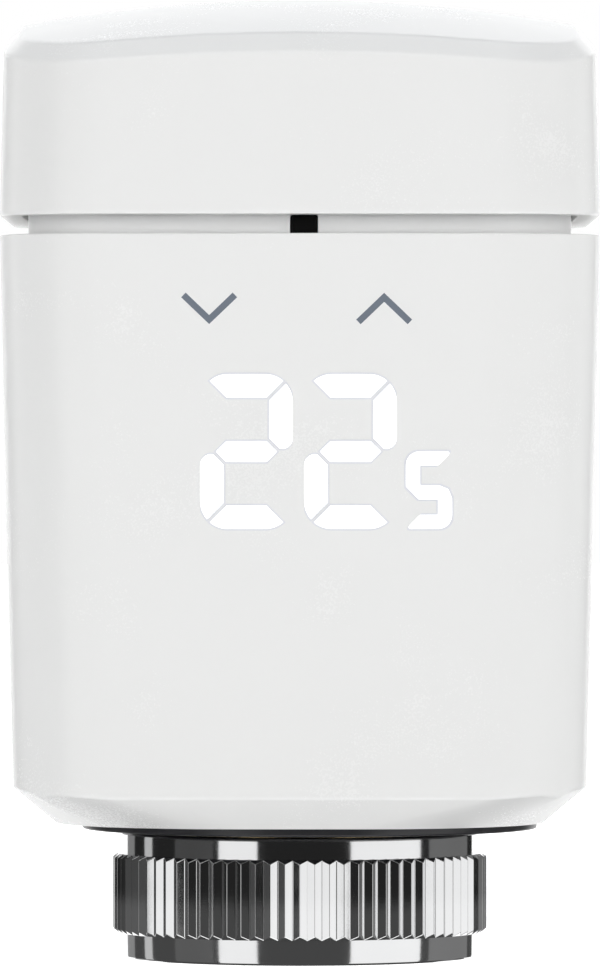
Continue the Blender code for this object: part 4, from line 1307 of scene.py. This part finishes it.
class HEAD_OT_reading(bpy.types.Operator):
    """Build the lit reading"""
    bl_idname = "head.reading"
    bl_label = "Lit reading"

    def execute(self, context):
        make_reading(context.scene.head_display, context.scene.head_housing)
        return {"FINISHED"}


class HEAD_OT_marks(bpy.types.Operator):
    """Build the two printed touch marks"""
    bl_idname = "head.marks"
    bl_label = "Touch marks"

    def execute(self, context):
        sizes, housing = context.scene.head_display, context.scene.head_housing
        make_mark("mark_down", -8.06 * MM, 58.10 * MM, 1, sizes, housing)
        make_mark("mark_up", 7.50 * MM, 60.08 * MM, -1, sizes, housing)
        return {"FINISHED"}


class HEAD_OT_carried(bpy.types.Operator):
    """Finish the CAD pieces that stay as they are"""
    bl_idname = "head.carried"
    bl_label = "Inner pieces"

    def execute(self, context):
        finish_carried_nodes()
        return {"FINISHED"}


class HEAD_OT_stage(bpy.types.Operator):
    """Set up the floor, the light and the camera"""
    bl_idname = "head.stage"
    bl_label = "Stage"

    def execute(self, context):
        make_stage()
        return {"FINISHED"}


STEPS = (HEAD_OT_carried, HEAD_OT_housing, HEAD_OT_cap, HEAD_OT_inner_frame, HEAD_OT_base_plate,
         HEAD_OT_union_nut, HEAD_OT_valve_side, HEAD_OT_cells, HEAD_OT_reading, HEAD_OT_marks, HEAD_OT_stage)


class HEAD_PT_panel(bpy.types.Panel):
    """Lists the build steps and their sizes"""
    bl_idname = "HEAD_PT_panel"
    bl_label = "Thermostat head"
    bl_space_type = "VIEW_3D"
    bl_region_type = "UI"
    bl_category = "Thermostat head"

    def draw(self, context):
        for step in STEPS:
            self.layout.operator(step.bl_idname)
        for label in SETTINGS:
            box = self.layout.box()
            settings = getattr(context.scene, label)
            for name in settings.__annotations__:
                box.prop(settings, name)


SETTINGS = {"head_housing": HousingSizes, "head_cap": CapSizes, "head_frame": FrameSizes,
            "head_nut": NutSizes, "head_display": DisplaySizes, "head_colours": FinishColours}


def register():
    """Registers the sizes, the operators and the panel."""
    for name, kind in SETTINGS.items():
        bpy.utils.register_class(kind)
        setattr(bpy.types.Scene, name, PointerProperty(type=kind))
    for step in STEPS:
        bpy.utils.register_class(step)
    bpy.utils.register_class(HEAD_PT_panel)


def unregister():
    """Takes back what register did."""
    bpy.utils.unregister_class(HEAD_PT_panel)
    for step in reversed(STEPS):
        bpy.utils.unregister_class(step)
    for name, kind in reversed(SETTINGS.items()):
        delattr(bpy.types.Scene, name)
        bpy.utils.unregister_class(kind)


def main():
    """Builds everything."""
    register()
    bpy.ops.head.carried()
    bpy.ops.head.housing()
    bpy.ops.head.cap()
    bpy.ops.head.inner_frame()
    bpy.ops.head.base_plate()
    bpy.ops.head.union_nut()
    bpy.ops.head.valve_side()
    bpy.ops.head.cells()
    bpy.ops.head.reading()
    bpy.ops.head.marks()
    bpy.ops.head.stage()


if __name__ == "__main__":
    main()
